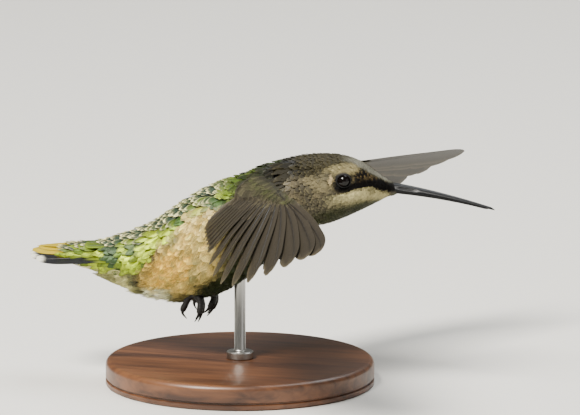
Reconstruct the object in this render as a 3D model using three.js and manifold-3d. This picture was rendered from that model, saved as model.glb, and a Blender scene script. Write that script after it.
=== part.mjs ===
// Ruby-throated hummingbird, female plumage, life size, hovering on a small museum stand.
// Millimetres. +X is forward along the bird, +Y its left side, +Z up.
// The origin is the centre of the stand's underside, straight under the rod.

import * as THREE from "three";
import { mergeVertices } from "three/addons/utils/BufferGeometryUtils.js";
import Module from "manifold-3d";

const wasm = await Module();
wasm.setup();

const DEG = Math.PI / 180;
const LEFT = 1;
const RIGHT = -1;

// ---------------------------------------------------------------- driving dimensions

const GAP = 0.3; // air between two nodes that meet

// The body from tail root to bill base: each station's place along X, its top, its underside
// and its half width.
const BODY = {
  coverts: { x: -25.6, top: 24.8, bottom: 18.0, half: 4.0 },
  rump: { x: -21.5, top: 26.3, bottom: 16.5, half: 5.0 },
  vent: { x: -16.0, top: 28.8, bottom: 15.2, half: 6.1 },
  thigh: { x: -10.5, top: 32.8, bottom: 14.8, half: 7.2 },
  belly: { x: -5.0, top: 36.1, bottom: 15.7, half: 8.1 },
  breast: { x: 0.0, top: 38.0, bottom: 18.3, half: 8.4 },
  shoulder: { x: 6.0, top: 40.5, bottom: 23.5, half: 7.9 },
  neck: { x: 12.0, top: 42.1, bottom: 28.4, half: 6.4 },
  nape: { x: 17.0, top: 42.5, bottom: 30.2, half: 5.6 },
  crown: { x: 20.0, top: 42.1, bottom: 31.5, half: 5.4 },
  brow: { x: 22.8, top: 41.0, bottom: 32.9, half: 4.8 },
  forehead: { x: 25.4, top: 39.3, bottom: 34.3, half: 3.5 },
  lores: { x: 27.4, top: 38.25, bottom: 35.4, half: 2.2 },
  billBase: { x: 29.2, top: 37.6, bottom: 35.75, half: 1.25 },
};
const BODY_SIDES = 28;
const RINGS_PER_STATION = 2;

// The cuts that part the body: a point on each and its lean back from upright.
const CUTS = {
  tail: { x: -16.5, z: 22.0, lean: 13 * DEG },
  neck: { x: 8.2, z: 33.7, lean: 31 * DEG },
  head: { x: 14.2, z: 36.0, lean: 19 * DEG },
};

const BILL = {
  length: 17.6, // from the feathers' edge to the tip
  startPitch: 4.8 * DEG,
  endPitch: 13.4 * DEG,
  upperHeight: 0.95,
  lowerHeight: 0.68,
  halfWidth: 1.1,
  tipShare: 0.3,
  lowerShort: 1.1,
  parting: [0.2, 0.12], // the line of the mouth, at the face and at the tip
  rings: 10,
  archSides: 7,
};
// Slits in the side of the upper mandible; across and up are shares of its half width and height.
const NOSTRIL = { along: 1.5, length: 1.5, height: 0.34, depth: 0.3, across: 0.86, up: 0.52 };
// The corner of the mouth: a slot back into the face, kept open only outside the jaws' middle.
const GAPE = {
  length: 3.2,
  width: 8,
  back: 0.6,
  core: new THREE.Vector3(27.6, 0, 36.7),
  coreSize: new THREE.Vector3(2.6, 1.5, 1.2),
};

const EYE = {
  x: 20.4,
  y: 4.9,
  z: 38.6,
  radius: 1.35,
  sink: 0.75, // the eyeball's centre lies this far in from y
  lid: 0.28,
  lidStretch: 1.12, // the lids' opening is longer than it is high
  segments: 16,
};

// A wing in its own plane: u runs out from the shoulder, v back from the leading edge, n up from
// the upper side.
const WING = {
  shoulder: new THREE.Vector3(5.8, 5.2, 38.0),
  stroke: 33 * DEG, // swept forward of straight out
  rise: -4 * DEG,
  rootPitch: 42 * DEG, // trailing edge down
  tipPitch: 34 * DEG,
  reach: 49, // shoulder to wing tip
  chord: 16,
  camber: 0.9,
  bend: 2.2, // the tip's upward flex
};
const ARM = [
  { u: -1.5, v: 2.6, half: 3.5, thick: 1.9 },
  { u: 2.0, v: 2.2, half: 3.3, thick: 1.6 },
  { u: 5.5, v: 1.4, half: 2.6, thick: 1.15 },
  { u: 10.0, v: 1.1, half: 1.8, thick: 0.85 },
  { u: 15.6, v: 1.0, half: 0.9, thick: 0.5 },
];
const ARM_SIDES = 12;

const VANE_THICK = 0.5;
const PRIMARIES = {
  count: 10,
  rootU: [5.6, 15.0],
  rootV: [1.6, 0.8],
  length: [14.6, 33.6],
  width: [5.3, 4.7],
  angle: [82 * DEG, 3 * DEG],
  opening: 1.45, // above 1, the outer feathers lie closer together than the inner ones
  growth: 1.25, // above 1, the inner feathers stay short for longer
  sweep: [0.4, 2.6],
};
const SECONDARIES = {
  count: 6,
  rootU: [0.8, 5.0],
  rootV: [3.0, 1.8],
  length: [10.6, 13.8],
  width: [4.0, 4.9],
  angle: [102 * DEG, 85 * DEG],
};
// Coverts lie over the roots of the flight feathers, as shares of their length and width.
const COVERT_TIERS = [
  { share: 0.42, lift: 0.67, width: 0.86 },
  { share: 0.25, lift: 1.05, width: 0.9 },
];
const COVERT = { ahead: 0.3, fall: 0.35, shortest: 3.4, longestFeather: 17 };

const TAIL = {
  root: new THREE.Vector3(-14.5, 0, 24.55),
  pitch: 3.8 * DEG, // tip down
  pairs: 5,
  length: [22.3, 23.2, 23.4, 23.0, 21.8], // from the middle pair out
  halfFan: 7.5 * DEG,
  rootSpread: 0.35,
  width: [4.6, 3.9],
  roll: [6 * DEG, 26 * DEG], // outer edges down, more in the outer pairs
  drop: 0.42, // each pair lies this much lower than the one inside it at its root
  rise: 0.06, // and comes up by this much towards its tip
};
// Two tiers of tail coverts on each side of the feathers, as heights over the tail at root and tip.
const UPPER_COVERTS = {
  count: [4, 5],
  root: [5.0, 8.6],
  length: [7.2, 8.4],
  rootLift: [2.6, 1.9],
  tipLift: [1.0, 0.7],
  spread: [3.2, 2.7],
};
const UNDER_COVERTS = {
  count: [4, 5],
  root: [6.0, 8.6],
  length: [8.0, 8.4],
  rootLift: [-6.4, -5.2],
  tipLift: [-4.6, -1.8],
  spread: [2.6, 2.4],
};
const TAIL_COVERT = { width: 3.3, fan: 3 * DEG, roll: 10 * DEG, round: 0.55, ahead: 0.8 };

const LEG = {
  hip: { x: -8.8, y: 3.1, z: 18.5 },
  ankle: { [RIGHT]: { x: -7.6, z: 16.0 }, [LEFT]: { x: -6.6, z: 15.9 } },
  drawnBack: { [RIGHT]: 0, [LEFT]: 14 * DEG },
  shank: [1.5, 0.7], // radius at the hip, inside the feathers, and at the ankle
  knuckle: new THREE.Vector3(0.85, 0.95, 0.75),
  toe: 0.5,
  claw: 0.31,
  clawTip: 0.09,
  clawShare: 0.34,
  sides: 7,
};
// The toes hang half closed: points below the ankle, forward and up, down to the claw's tip.
const FRONT_TOE = [[0, 0.2], [0.95, -0.3], [1.4, -1.3], [1.4, -2.5], [1.15, -3.7], [0.7, -4.7]];
const HIND_TOE = [[0, 0.2], [-1.05, -0.4], [-1.6, -1.6], [-2.05, -2.5], [-2.1, -3.35], [-1.35, -4.2]];
// Each front toe's splay to the outside and how much further it is curled in.
const FRONT_TOES = [{ splay: -0.95, curl: 0.75 }, { splay: 0, curl: 0 }, { splay: 0.95, curl: 0.35 }];

const STAND = {
  radius: 24,
  height: 4.5,
  edge: 1.0, // bevel round the top
  rod: 1.0,
  rodIntoBase: 2.5,
  rodIntoBody: 5.0,
  collar: { radius: 2.4, height: 1.1 },
  segments: 56,
};

// ---------------------------------------------------------------- materials

const finish = (color, roughness, metalness = 0) =>
  new THREE.MeshStandardMaterial({ color, roughness, metalness, flatShading: true });
const plumage = finish(0x7d7f52, 0.85);
const headPlumage = finish(0x7a705a, 0.85);
const flight = finish(0x4c443f, 0.6);
const horn = finish(0x15161a, 0.35);
const eyeball = finish(0x0b0806, 0.08);
const scaledSkin = finish(0x1b1714, 0.55);
const walnut = finish(0x5a3a24, 0.45);
const steel = finish(0xb8b8b4, 0.3, 1);

// ---------------------------------------------------------------- small tools

const mix = (range, t) => range[0] + (range[1] - range[0]) * t;

// A closed three.js geometry as a solid.
function solid(geometry) {
  const bare = new THREE.BufferGeometry();
  bare.setAttribute("position", geometry.getAttribute("position"));
  bare.setIndex(geometry.getIndex());
  const merged = mergeVertices(bare, 1e-5);
  return new wasm.Manifold(
    new wasm.Mesh({
      numProp: 3,
      vertProperties: new Float32Array(merged.getAttribute("position").array),
      triVerts: new Uint32Array(merged.getIndex().array),
    }),
  );
}

const join = (solids) => solids.reduce((all, one) => all.add(one));

// The largest closed surface of a solid.
function largest(made) {
  return made.decompose().reduce((best, one) => (one.volume() > best.volume() ? one : best));
}

function geometryOf(made) {
  const mesh = made.getMesh();
  const geometry = new THREE.BufferGeometry();
  geometry.setAttribute("position", new THREE.BufferAttribute(mesh.vertProperties, 3));
  geometry.setIndex(new THREE.BufferAttribute(mesh.triVerts, 1));
  geometry.computeVertexNormals();
  return geometry;
}

// Closed surface through rings of points, with a fan at each end; flip turns it right side out.
function loft(rings, flip = false) {
  const sides = rings[0].length;
  const points = rings.flat();
  const faces = [];
  const face = (a, b, c) => faces.push(...(flip ? [a, c, b] : [a, b, c]));
  for (let i = 0; i < rings.length - 1; i++) {
    for (let j = 0; j < sides; j++) {
      const k = (j + 1) % sides;
      const [a, b] = [i * sides + j, i * sides + k];
      face(a, b, b + sides);
      face(a, b + sides, a + sides);
    }
  }
  for (const [ring, first] of [[rings[0], 0], [rings.at(-1), (rings.length - 1) * sides]]) {
    const middle = ring.reduce((sum, p) => sum.add(p), new THREE.Vector3()).divideScalar(sides);
    const centre = points.push(middle) - 1;
    for (let j = 0; j < sides; j++) {
      const k = (j + 1) % sides;
      if (first === 0) face(centre, first + k, first + j);
      else face(centre, first + j, first + k);
    }
  }
  const geometry = new THREE.BufferGeometry().setFromPoints(points);
  geometry.setIndex(faces);
  return geometry;
}

// A loft that is turned right side out whichever way its rings run.
function loftSolid(rings) {
  const made = solid(loft(rings));
  return made.volume() > 0 ? made : solid(loft(rings, true));
}

// Round tube along a curve, with a radius for each share of its length.
function tube(path, radiusAt, sides, steps) {
  const rings = [];
  const across = new THREE.Vector3(0, 1, 0);
  for (let i = 0; i <= steps; i++) {
    const t = i / steps;
    const at = path.getPoint(t);
    const tangent = path.getTangent(t);
    const up = new THREE.Vector3().crossVectors(tangent, across).normalize();
    const side = new THREE.Vector3().crossVectors(up, tangent).normalize();
    const ring = [];
    for (let j = 0; j < sides; j++) {
      const a = (2 * Math.PI * j) / sides;
      ring.push(
        at
          .clone()
          .addScaledVector(up, radiusAt(t) * Math.cos(a))
          .addScaledVector(side, radiusAt(t) * Math.sin(a)),
      );
    }
    rings.push(ring);
  }
  return loftSolid(rings);
}

const ball = (centre, size, segments) =>
  solid(
    new THREE.SphereGeometry(1, segments, segments / 2)
      .scale(size.x, size.y, size.z)
      .translate(centre.x, centre.y, centre.z),
  );

function mesh(name, made, material) {
  const node = new THREE.Mesh(geometryOf(made), material);
  node.name = name;
  return node;
}

// ---------------------------------------------------------------- body

// Value of one size between the body's stations, on a smooth curve through them.
function station(t, key) {
  const all = Object.values(BODY);
  const i = Math.min(Math.floor(t), all.length - 2);
  const f = t - i;
  const at = (k) => all[Math.max(0, Math.min(all.length - 1, k))][key];
  const [a, b, c, d] = [at(i - 1), at(i), at(i + 1), at(i + 2)];
  return 0.5 * (2 * b + (c - a) * f + (2 * a - 5 * b + 4 * c - d) * f * f + (3 * b - a - 3 * c + d) * f ** 3);
}

// The whole body, grown by an offset all round.
function bodySolid(offset = 0) {
  const last = Object.keys(BODY).length - 1;
  const rings = [];
  for (let i = 0; i <= last * RINGS_PER_STATION; i++) {
    const t = i / RINGS_PER_STATION;
    const [x, top, bottom, half] = ["x", "top", "bottom", "half"].map((key) => station(t, key));
    const end = i === 0 ? -1 : t === last ? 1 : 0;
    const ring = [];
    for (let j = 0; j < BODY_SIDES; j++) {
      const a = (2 * Math.PI * j) / BODY_SIDES;
      ring.push(
        new THREE.Vector3(
          x + end * offset,
          (half + offset) * Math.sin(a),
          (top + bottom) / 2 + ((top - bottom) / 2 + offset) * Math.cos(a),
        ),
      );
    }
    rings.push(ring);
  }
  return loftSolid(rings);
}

function cutSlab(cut) {
  const slab = new THREE.BoxGeometry(GAP, 40, 40);
  slab.rotateY(-cut.lean);
  slab.translate(cut.x, 0, cut.z);
  return solid(slab);
}

const body = bodySolid();
const clearOfBody = bodySolid(GAP);
const [rump, trunk, neck, skull] = Object.values(CUTS)
  .reduce((rest, cut) => rest.subtract(cutSlab(cut)), body)
  .decompose()
  .sort((a, b) => a.boundingBox().min[0] - b.boundingBox().min[0]);

// ---------------------------------------------------------------- head, eyes and bill

const eyeCentre = (side) => new THREE.Vector3(EYE.x, side * (EYE.y - EYE.sink), EYE.z);
// The eye looks out and a little forward, square to the side of the head.
const eyeFacing = (side) => new THREE.Vector3(0.28, side, 0.1).normalize();

function eyeSolid(side, grow = 0) {
  const r = EYE.radius + grow;
  return ball(eyeCentre(side), new THREE.Vector3(r, r, r), EYE.segments);
}

function lidRing(side) {
  const ringRadius = Math.sqrt((EYE.radius + GAP) ** 2 - (EYE.sink - 0.1) ** 2);
  const lid = new THREE.TorusGeometry(ringRadius, EYE.lid, 6, EYE.segments);
  lid.scale(EYE.lidStretch, 1, 1);
  const facing = eyeFacing(side);
  lid.applyQuaternion(new THREE.Quaternion().setFromUnitVectors(new THREE.Vector3(0, 0, 1), facing));
  const at = eyeCentre(side).addScaledVector(facing, EYE.sink - 0.1);
  return solid(lid.translate(at.x, at.y, at.z));
}

// Middle line of the bill: an arc that bends down towards the tip.
function billPoint(along) {
  const bend = (BILL.endPitch - BILL.startPitch) / BILL.length;
  const pitch = BILL.startPitch + bend * along;
  const radius = 1 / bend;
  const { x, top, bottom } = BODY.billBase;
  return {
    x: x + GAP + radius * (Math.sin(pitch) - Math.sin(BILL.startPitch)),
    z: (top + bottom) / 2 - radius * (Math.cos(BILL.startPitch) - Math.cos(pitch)),
    pitch,
  };
}

// One mandible: an arch over (up = 1) or under (up = -1) the line of the mouth.
function mandible(up, height, length) {
  const rings = [];
  for (let i = 0; i <= BILL.rings; i++) {
    const t = i / BILL.rings;
    const taper = BILL.tipShare + (1 - BILL.tipShare) * (1 - t) ** 1.25;
    const point = t > 0.94 ? 0.45 : 1;
    const parting = mix(BILL.parting, t);
    const { x, z, pitch } = billPoint(length * t);
    const arch = [];
    for (let j = 0; j <= BILL.archSides; j++) {
      const a = (Math.PI * j) / BILL.archSides;
      const rise = up * (parting / 2 + height * taper * point * Math.sin(a));
      arch.push(
        new THREE.Vector3(
          x + rise * Math.sin(pitch),
          BILL.halfWidth * taper * point * Math.cos(a),
          z + rise * Math.cos(pitch),
        ),
      );
    }
    rings.push(arch);
  }
  return loftSolid(rings);
}

function nostrils() {
  const { x, z, pitch } = billPoint(NOSTRIL.along);
  return join(
    [LEFT, RIGHT].map((side) => {
      const slit = new THREE.SphereGeometry(1, 12, 6);
      slit.scale(NOSTRIL.length / 2, NOSTRIL.depth, NOSTRIL.height / 2);
      slit.rotateY(pitch);
      slit.translate(x, side * BILL.halfWidth * NOSTRIL.across, z + BILL.upperHeight * NOSTRIL.up);
      return solid(slit);
    }),
  );
}

// The corner of the mouth runs a little way back into the face.
function gape() {
  const { x, z, pitch } = billPoint(0);
  const slot = new THREE.BoxGeometry(GAPE.length, GAPE.width, BILL.parting[0]);
  slot.rotateY(pitch);
  return solid(slot.translate(x - GAPE.back, 0, z)).subtract(ball(GAPE.core, GAPE.coreSize, 16));
}

function headSolid() {
  const withLids = join([skull, lidRing(LEFT), lidRing(RIGHT)]);
  const hollows = join([eyeSolid(LEFT, GAP), eyeSolid(RIGHT, GAP), gape()]);
  return largest(withLids.subtract(hollows));
}

// ---------------------------------------------------------------- feathers

// Outline of a vane at share s of its length: narrow at the root, full past the middle, round at the tip.
function vaneWidth(s) {
  const swell = 0.45 + 0.55 * Math.sin(Math.min(1, s / 0.55) * (Math.PI / 2));
  const tip = s > 0.78 ? Math.sqrt(Math.max(0, 1 - ((s - 0.78) / 0.225) ** 2)) : 1;
  return swell * tip;
}

// A flat vane. spec has its root (u, v, n), angle, length, width, and optional sweep, roll, fall and thick.
// place turns (u, v, n) into a point of the node.
function vane(spec, place, steps) {
  const { u, v, n, angle, length, width } = spec;
  const { sweep = 0, roll = 8 * DEG, fall = 0, thick = VANE_THICK } = spec;
  const rings = [];
  for (let i = 0; i <= steps; i++) {
    const s = i < steps ? (0.94 * i) / (steps - 1) : 1;
    const bow = sweep * s * s;
    const slope = Math.atan2(2 * sweep * s, length);
    const centreU = u + length * s * Math.cos(angle) - bow * Math.sin(angle);
    const centreV = v + length * s * Math.sin(angle) + bow * Math.cos(angle);
    const across = [-Math.sin(angle + slope), Math.cos(angle + slope)];
    const half = (width / 2) * vaneWidth(s);
    const t = (thick / 2) * (1 - 0.45 * s);
    const at = (w, lift) =>
      place(
        centreU + across[0] * w * Math.cos(roll),
        centreV + across[1] * w * Math.cos(roll),
        n + fall * s - w * Math.sin(roll) + lift,
      );
    rings.push([at(-half, t), at(half, t), at(half, -t), at(-half, -t)]);
  }
  return loftSolid(rings);
}

// ---------------------------------------------------------------- wings

// A point of the wing's own plane, with its twist, camber and flex.
function wingPoint(side) {
  return (u, v, n) => {
    const out = Math.max(0, u / WING.reach);
    const pitch = mix([WING.rootPitch, WING.tipPitch], out);
    const back = v / WING.chord;
    const lift = n + WING.camber * 4 * back * (1 - back);
    return new THREE.Vector3(
      u,
      v * Math.cos(pitch) + lift * Math.sin(pitch),
      side * (lift * Math.cos(pitch) - v * Math.sin(pitch) + WING.bend * out * out),
    );
  };
}

function armSolid(place) {
  return loftSolid(
    ARM.map(({ u, v, half, thick }) => {
      const ring = [];
      for (let j = 0; j < ARM_SIDES; j++) {
        const a = (2 * Math.PI * j) / ARM_SIDES;
        ring.push(place(u, v + half * Math.cos(a), thick * Math.sin(a)));
      }
      return ring;
    }),
  );
}

// The flight feathers as specs, from the body out to the wing tip.
function flightFeathers() {
  const row = (set, t, sweep = 0) => ({
    u: mix(set.rootU, t),
    v: mix(set.rootV, t),
    n: 0,
    angle: mix(set.angle, t),
    length: mix(set.length, t),
    width: mix(set.width, t),
    sweep,
  });
  const along = (set) => Array.from({ length: set.count }, (_, i) => i / (set.count - 1));
  const inner = along(SECONDARIES).map((t) => row(SECONDARIES, t));
  const outer = along(PRIMARIES).map((t) => ({
    ...row(PRIMARIES, t, mix(PRIMARIES.sweep, t)),
    angle: mix(PRIMARIES.angle, 1 - (1 - t) ** PRIMARIES.opening),
    length: mix(PRIMARIES.length, Math.sin((t * Math.PI) / 2) ** PRIMARIES.growth),
  }));
  return [...inner, ...outer];
}

function wingSolid(side, frame) {
  const place = wingPoint(side);
  const feathers = flightFeathers();
  const vanes = feathers.map((spec) => vane(spec, place, spec.length > 20 ? 6 : 5));
  for (const tier of COVERT_TIERS) {
    for (const spec of feathers) {
      const covert = {
        ...spec,
        n: tier.lift,
        v: spec.v - COVERT.ahead,
        fall: -COVERT.fall,
        length: Math.max(COVERT.shortest, Math.min(spec.length, COVERT.longestFeather) * tier.share),
        width: spec.width * tier.width,
        sweep: 0,
      };
      vanes.push(vane(covert, place, 3));
    }
  }
  const whole = join([armSolid(place), ...vanes]);
  const inWing = (made) => solid(geometryOf(made).applyMatrix4(frame.clone().invert()));
  return largest(whole.subtract(inWing(clearOfBody)));
}

function wing(side) {
  const out = new THREE.Vector3(
    Math.sin(WING.stroke) * Math.cos(WING.rise),
    side * Math.cos(WING.stroke) * Math.cos(WING.rise),
    Math.sin(WING.rise),
  );
  const back = new THREE.Vector3(-Math.cos(WING.stroke), side * Math.sin(WING.stroke), 0);
  const up = new THREE.Vector3().crossVectors(out, back);
  const at = WING.shoulder.clone().multiply(new THREE.Vector3(1, side, 1));
  const frame = new THREE.Matrix4().makeBasis(out, back, up).setPosition(at);
  const node = mesh(side === LEFT ? "wing_left" : "wing_right", wingSolid(side, frame), flight);
  node.position.copy(at);
  node.quaternion.setFromRotationMatrix(frame);
  return node;
}

// ---------------------------------------------------------------- tail

// A point of the tail: u runs back from the root, v to the left, n up.
function tailPoint(u, v, n) {
  const along = new THREE.Vector3(-Math.cos(TAIL.pitch), 0, -Math.sin(TAIL.pitch));
  const up = new THREE.Vector3(-Math.sin(TAIL.pitch), 0, Math.cos(TAIL.pitch));
  return TAIL.root.clone().addScaledVector(along, u).addScaledVector(up, n).add(new THREE.Vector3(0, v, 0));
}

function tailSolid() {
  const vanes = [];
  for (const side of [LEFT, RIGHT]) {
    for (let i = 0; i < TAIL.pairs; i++) {
      const t = (i + 0.35) / (TAIL.pairs - 0.65);
      const spec = {
        u: 0.6,
        v: side * TAIL.rootSpread * (i + 0.5),
        n: -TAIL.drop * i,
        angle: side * TAIL.halfFan * t,
        length: TAIL.length[i],
        width: mix(TAIL.width, t),
        sweep: side * 0.35 * t,
        roll: side * mix(TAIL.roll, t),
        fall: TAIL.rise * i,
      };
      vanes.push(vane(spec, tailPoint, 5));
    }
  }
  for (const set of [UPPER_COVERTS, UNDER_COVERTS]) {
    set.count.forEach((count, tier) => {
      for (let i = 0; i < count; i++) {
        const across = (2 * i) / (count - 1) - 1;
        // The outer coverts lie nearer the feathers, as on a round rump.
        const round = Math.sqrt(1 - TAIL_COVERT.round * across * across);
        const spec = {
          u: set.root[tier] - TAIL_COVERT.ahead * across * across,
          v: set.spread[tier] * across,
          n: set.rootLift[tier] * round,
          angle: TAIL_COVERT.fan * across,
          length: set.length[tier],
          width: TAIL_COVERT.width,
          roll: TAIL_COVERT.roll * across * Math.sign(set.rootLift[tier]),
          fall: (set.tipLift[tier] - set.rootLift[tier]) * round,
        };
        vanes.push(vane(spec, tailPoint, 3));
      }
    });
  }
  // Everything ahead of the cut, with the gap to the torso.
  const forward = new THREE.BoxGeometry(40, 40, 60);
  forward.translate(20 - GAP / 2, 0, 0);
  forward.rotateY(-CUTS.tail.lean);
  forward.translate(CUTS.tail.x, 0, CUTS.tail.z);
  return largest(join([rump, ...vanes]).subtract(solid(forward)));
}

// ---------------------------------------------------------------- legs

// A toe with its claw, along points of the foot's own plane.
function toe(side, points, { splay = 0, curl = 0 } = {}) {
  const ankle = LEG.ankle[side];
  const path = points.map(([forward, up], i) => {
    const s = i / (points.length - 1);
    const out = side * splay * Math.sin(s * Math.PI * 0.55);
    const at = new THREE.Vector3(forward - curl * s * s, out, up * (1 - 0.12 * curl * s));
    at.applyAxisAngle(new THREE.Vector3(0, 1, 0), LEG.drawnBack[side]);
    return at.add(new THREE.Vector3(ankle.x, side * LEG.hip.y, ankle.z));
  });
  const clawRoot = 1 - LEG.clawShare;
  const radius = (t) =>
    t < clawRoot
      ? LEG.toe * (1 - 0.12 * t)
      : mix([LEG.claw, LEG.clawTip], (t - clawRoot) / LEG.clawShare);
  return tube(new THREE.CatmullRomCurve3(path), radius, LEG.sides, 10);
}

function legSolid(side) {
  const ankle = new THREE.Vector3(LEG.ankle[side].x, side * LEG.hip.y, LEG.ankle[side].z);
  const hip = new THREE.Vector3(LEG.hip.x, side * LEG.hip.y, LEG.hip.z);
  const shank = tube(new THREE.LineCurve3(hip, ankle), (t) => mix(LEG.shank, t), 9, 3);
  const knuckle = ball(ankle, LEG.knuckle, 10);
  const toes = FRONT_TOES.map((pose) => toe(side, FRONT_TOE, pose));
  const whole = join([shank, knuckle, ...toes, toe(side, HIND_TOE)]);
  return largest(whole.subtract(clearOfBody));
}

// ---------------------------------------------------------------- stand

const rodGeometry = (radius, from, to) =>
  new THREE.CylinderGeometry(radius, radius, to - from, 20)
    .rotateX(Math.PI / 2)
    .translate(0, 0, (from + to) / 2);

const rodFoot = STAND.height - STAND.rodIntoBase;
const rodTop = BODY.breast.bottom + STAND.rodIntoBody;

function baseSolid() {
  const { radius, height, edge, segments } = STAND;
  const profile = [
    new THREE.Vector2(0, 0),
    new THREE.Vector2(radius, 0),
    new THREE.Vector2(radius, height - edge),
    new THREE.Vector2(radius - edge * 0.3, height - edge * 0.3),
    new THREE.Vector2(radius - edge, height),
    new THREE.Vector2(0, height),
  ];
  const turned = () => solid(new THREE.LatheGeometry(profile, segments).rotateX(Math.PI / 2));
  if (turned().volume() < 0) profile.reverse();
  return turned().subtract(solid(rodGeometry(STAND.rod + GAP, rodFoot - GAP, STAND.height + 1)));
}

function rodSolid() {
  const collarFoot = STAND.height + GAP;
  return join([
    solid(rodGeometry(STAND.rod, rodFoot, rodTop)),
    solid(rodGeometry(STAND.collar.radius, collarFoot, collarFoot + STAND.collar.height)),
  ]);
}

function torsoSolid() {
  return largest(trunk.subtract(solid(rodGeometry(STAND.rod + GAP, 10, rodTop + GAP))));
}

// ---------------------------------------------------------------- the part

const bird = new THREE.Group();
bird.name = "hummingbird";
bird.add(mesh("head", headSolid(), headPlumage));
bird.add(mesh("neck", largest(neck), headPlumage));
bird.add(mesh("torso", torsoSolid(), plumage));
bird.add(mesh("tail", tailSolid(), plumage));
bird.add(mesh("bill_upper", mandible(1, BILL.upperHeight, BILL.length).subtract(nostrils()), horn));
bird.add(mesh("bill_lower", mandible(-1, BILL.lowerHeight, BILL.length - BILL.lowerShort), horn));
for (const side of [LEFT, RIGHT]) {
  const name = side === LEFT ? "left" : "right";
  bird.add(mesh(`eye_${name}`, eyeSolid(side), eyeball));
  bird.add(mesh(`leg_${name}`, legSolid(side), scaledSkin));
  bird.add(wing(side));
}

const stand = new THREE.Group();
stand.name = "stand";
stand.add(mesh("stand_base", baseSolid(), walnut));
stand.add(mesh("stand_rod", rodSolid(), steel));

const model = new THREE.Group();
model.add(bird, stand);

export default model;
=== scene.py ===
"""Looks of a life-size ruby-throated hummingbird in female plumage, hovering on a small museum stand.

Laid out as a Blender add-on and run as a script: every piece has an operator, and the sizes and colours that
a user would change are properties of the scene. Lengths in the tables are millimetres, and MM turns them into
Blender's metres. +X is forward along the bird, +Y its left side, +Z up.
"""

import math
from collections import namedtuple

import bpy
import numpy as np
from bpy.props import FloatProperty, FloatVectorProperty, IntProperty, PointerProperty
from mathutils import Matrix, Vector, noise


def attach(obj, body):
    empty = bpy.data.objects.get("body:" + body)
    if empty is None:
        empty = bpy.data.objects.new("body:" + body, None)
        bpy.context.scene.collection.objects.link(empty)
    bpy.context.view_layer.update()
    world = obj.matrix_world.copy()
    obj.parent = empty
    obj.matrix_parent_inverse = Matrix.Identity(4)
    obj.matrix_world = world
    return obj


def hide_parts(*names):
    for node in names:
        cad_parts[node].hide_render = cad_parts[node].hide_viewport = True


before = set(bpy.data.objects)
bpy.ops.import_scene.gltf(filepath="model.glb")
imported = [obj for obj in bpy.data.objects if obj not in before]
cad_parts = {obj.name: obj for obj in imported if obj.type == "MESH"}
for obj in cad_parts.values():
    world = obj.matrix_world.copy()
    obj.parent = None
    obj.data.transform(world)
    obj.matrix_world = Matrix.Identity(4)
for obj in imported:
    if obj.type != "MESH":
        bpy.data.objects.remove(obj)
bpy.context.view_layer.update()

bl_info = {
    "name": "Hummingbird Museum Model",
    "version": (1, 0, 0),
    "blender": (4, 5, 0),
    "location": "3D View > Sidebar > Hummingbird",
    "description": "Builds the plumage, bill, eyes, feet and stand of a hovering hummingbird",
    "category": "Object",
}

MM = 0.001
TAU = 2 * math.pi
LEFT = 1
RIGHT = -1
SIDE_NAMES = {LEFT: "left", RIGHT: "right"}
PAINT = "plumage"
VANE_MAP = "Vane"
BAKE_MAP = "OFBake"
# Side of the patch that each small feather has in the bake's square.
BAKE_PATCH = 0.003

# ---------------------------------------------------------------- driving dimensions, in millimetres

# The body from tail root to bill base: place along X, top, underside and half width. Places along the body,
# t in the functions, are counted in these stations.
STATIONS = np.array([
    (-25.6, 24.8, 18.0, 4.0),
    (-21.5, 26.3, 16.5, 5.0),
    (-16.0, 28.8, 15.2, 6.1),
    (-10.5, 32.8, 14.8, 7.2),
    (-5.0, 36.1, 15.7, 8.1),
    (0.0, 38.0, 18.3, 8.4),
    (6.0, 40.5, 23.5, 7.9),
    (12.0, 42.1, 28.4, 6.4),
    (17.0, 42.5, 30.2, 5.6),
    (20.0, 42.1, 31.5, 5.4),
    (22.8, 41.0, 32.9, 4.8),
    (25.4, 39.3, 34.3, 3.5),
    (27.4, 38.25, 35.4, 2.2),
    (29.2, 37.6, 35.75, 1.25),
])
LAST = len(STATIONS) - 1
# How x, top, underside and half width go on over the tail's root, for one more station.
OVER_TAIL = np.array([5.0, 0.75, -2.3, -0.35])

EYE = {"x": 20.4, "y": 4.15, "z": 38.6, "radius": 1.35, "opening": 1.08, "lid": 0.11, "almond": 1.12}
EYELID_RINGS = ((0.36, 34), (0.56, 38), (0.78, 42), (1.0, 46))
EYE_FACING = Vector((0.28, 1.0, 0.1)).normalized()

BILL = {
    "length": 17.6, "start_pitch": math.radians(4.8), "end_pitch": math.radians(13.4),
    "upper": 1.05, "lower": 0.74, "half_width": 1.1, "tip_share": 0.3, "lower_short": 1.1,
}
NOSTRIL = {"along": 1.5, "length": 1.7, "depth": 0.26}

WING = {
    "shoulder": (5.8, 5.2, 38.0), "stroke": math.radians(33), "rise": math.radians(-4),
    "root_pitch": math.radians(42), "tip_pitch": math.radians(34),
    "reach": 49.0, "chord": 16.0, "camber": 0.9, "bend": 2.2,
}
# The arm under its feathers: how far out, how far back, half chord and half thickness.
ARM = np.array([
    (-1.5, 2.6, 3.2, 1.7),
    (2.0, 2.2, 3.0, 1.4),
    (5.5, 1.4, 2.3, 0.95),
    (10.0, 1.1, 1.55, 0.65),
    (15.6, 1.0, 0.7, 0.35),
])
PRIMARIES = {
    "count": 10, "root_u": (5.6, 15.0), "root_v": (1.6, 0.8), "length": (14.6, 33.6),
    "width": (5.3, 4.7), "angle": (math.radians(82), math.radians(3)), "sweep": (0.4, 2.6),
}
SECONDARIES = {
    "count": 6, "root_u": (0.8, 5.0), "root_v": (3.0, 1.8), "length": (10.6, 13.8),
    "width": (4.0, 4.9), "angle": (math.radians(102), math.radians(85)), "sweep": (0.0, 0.0),
}
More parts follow.
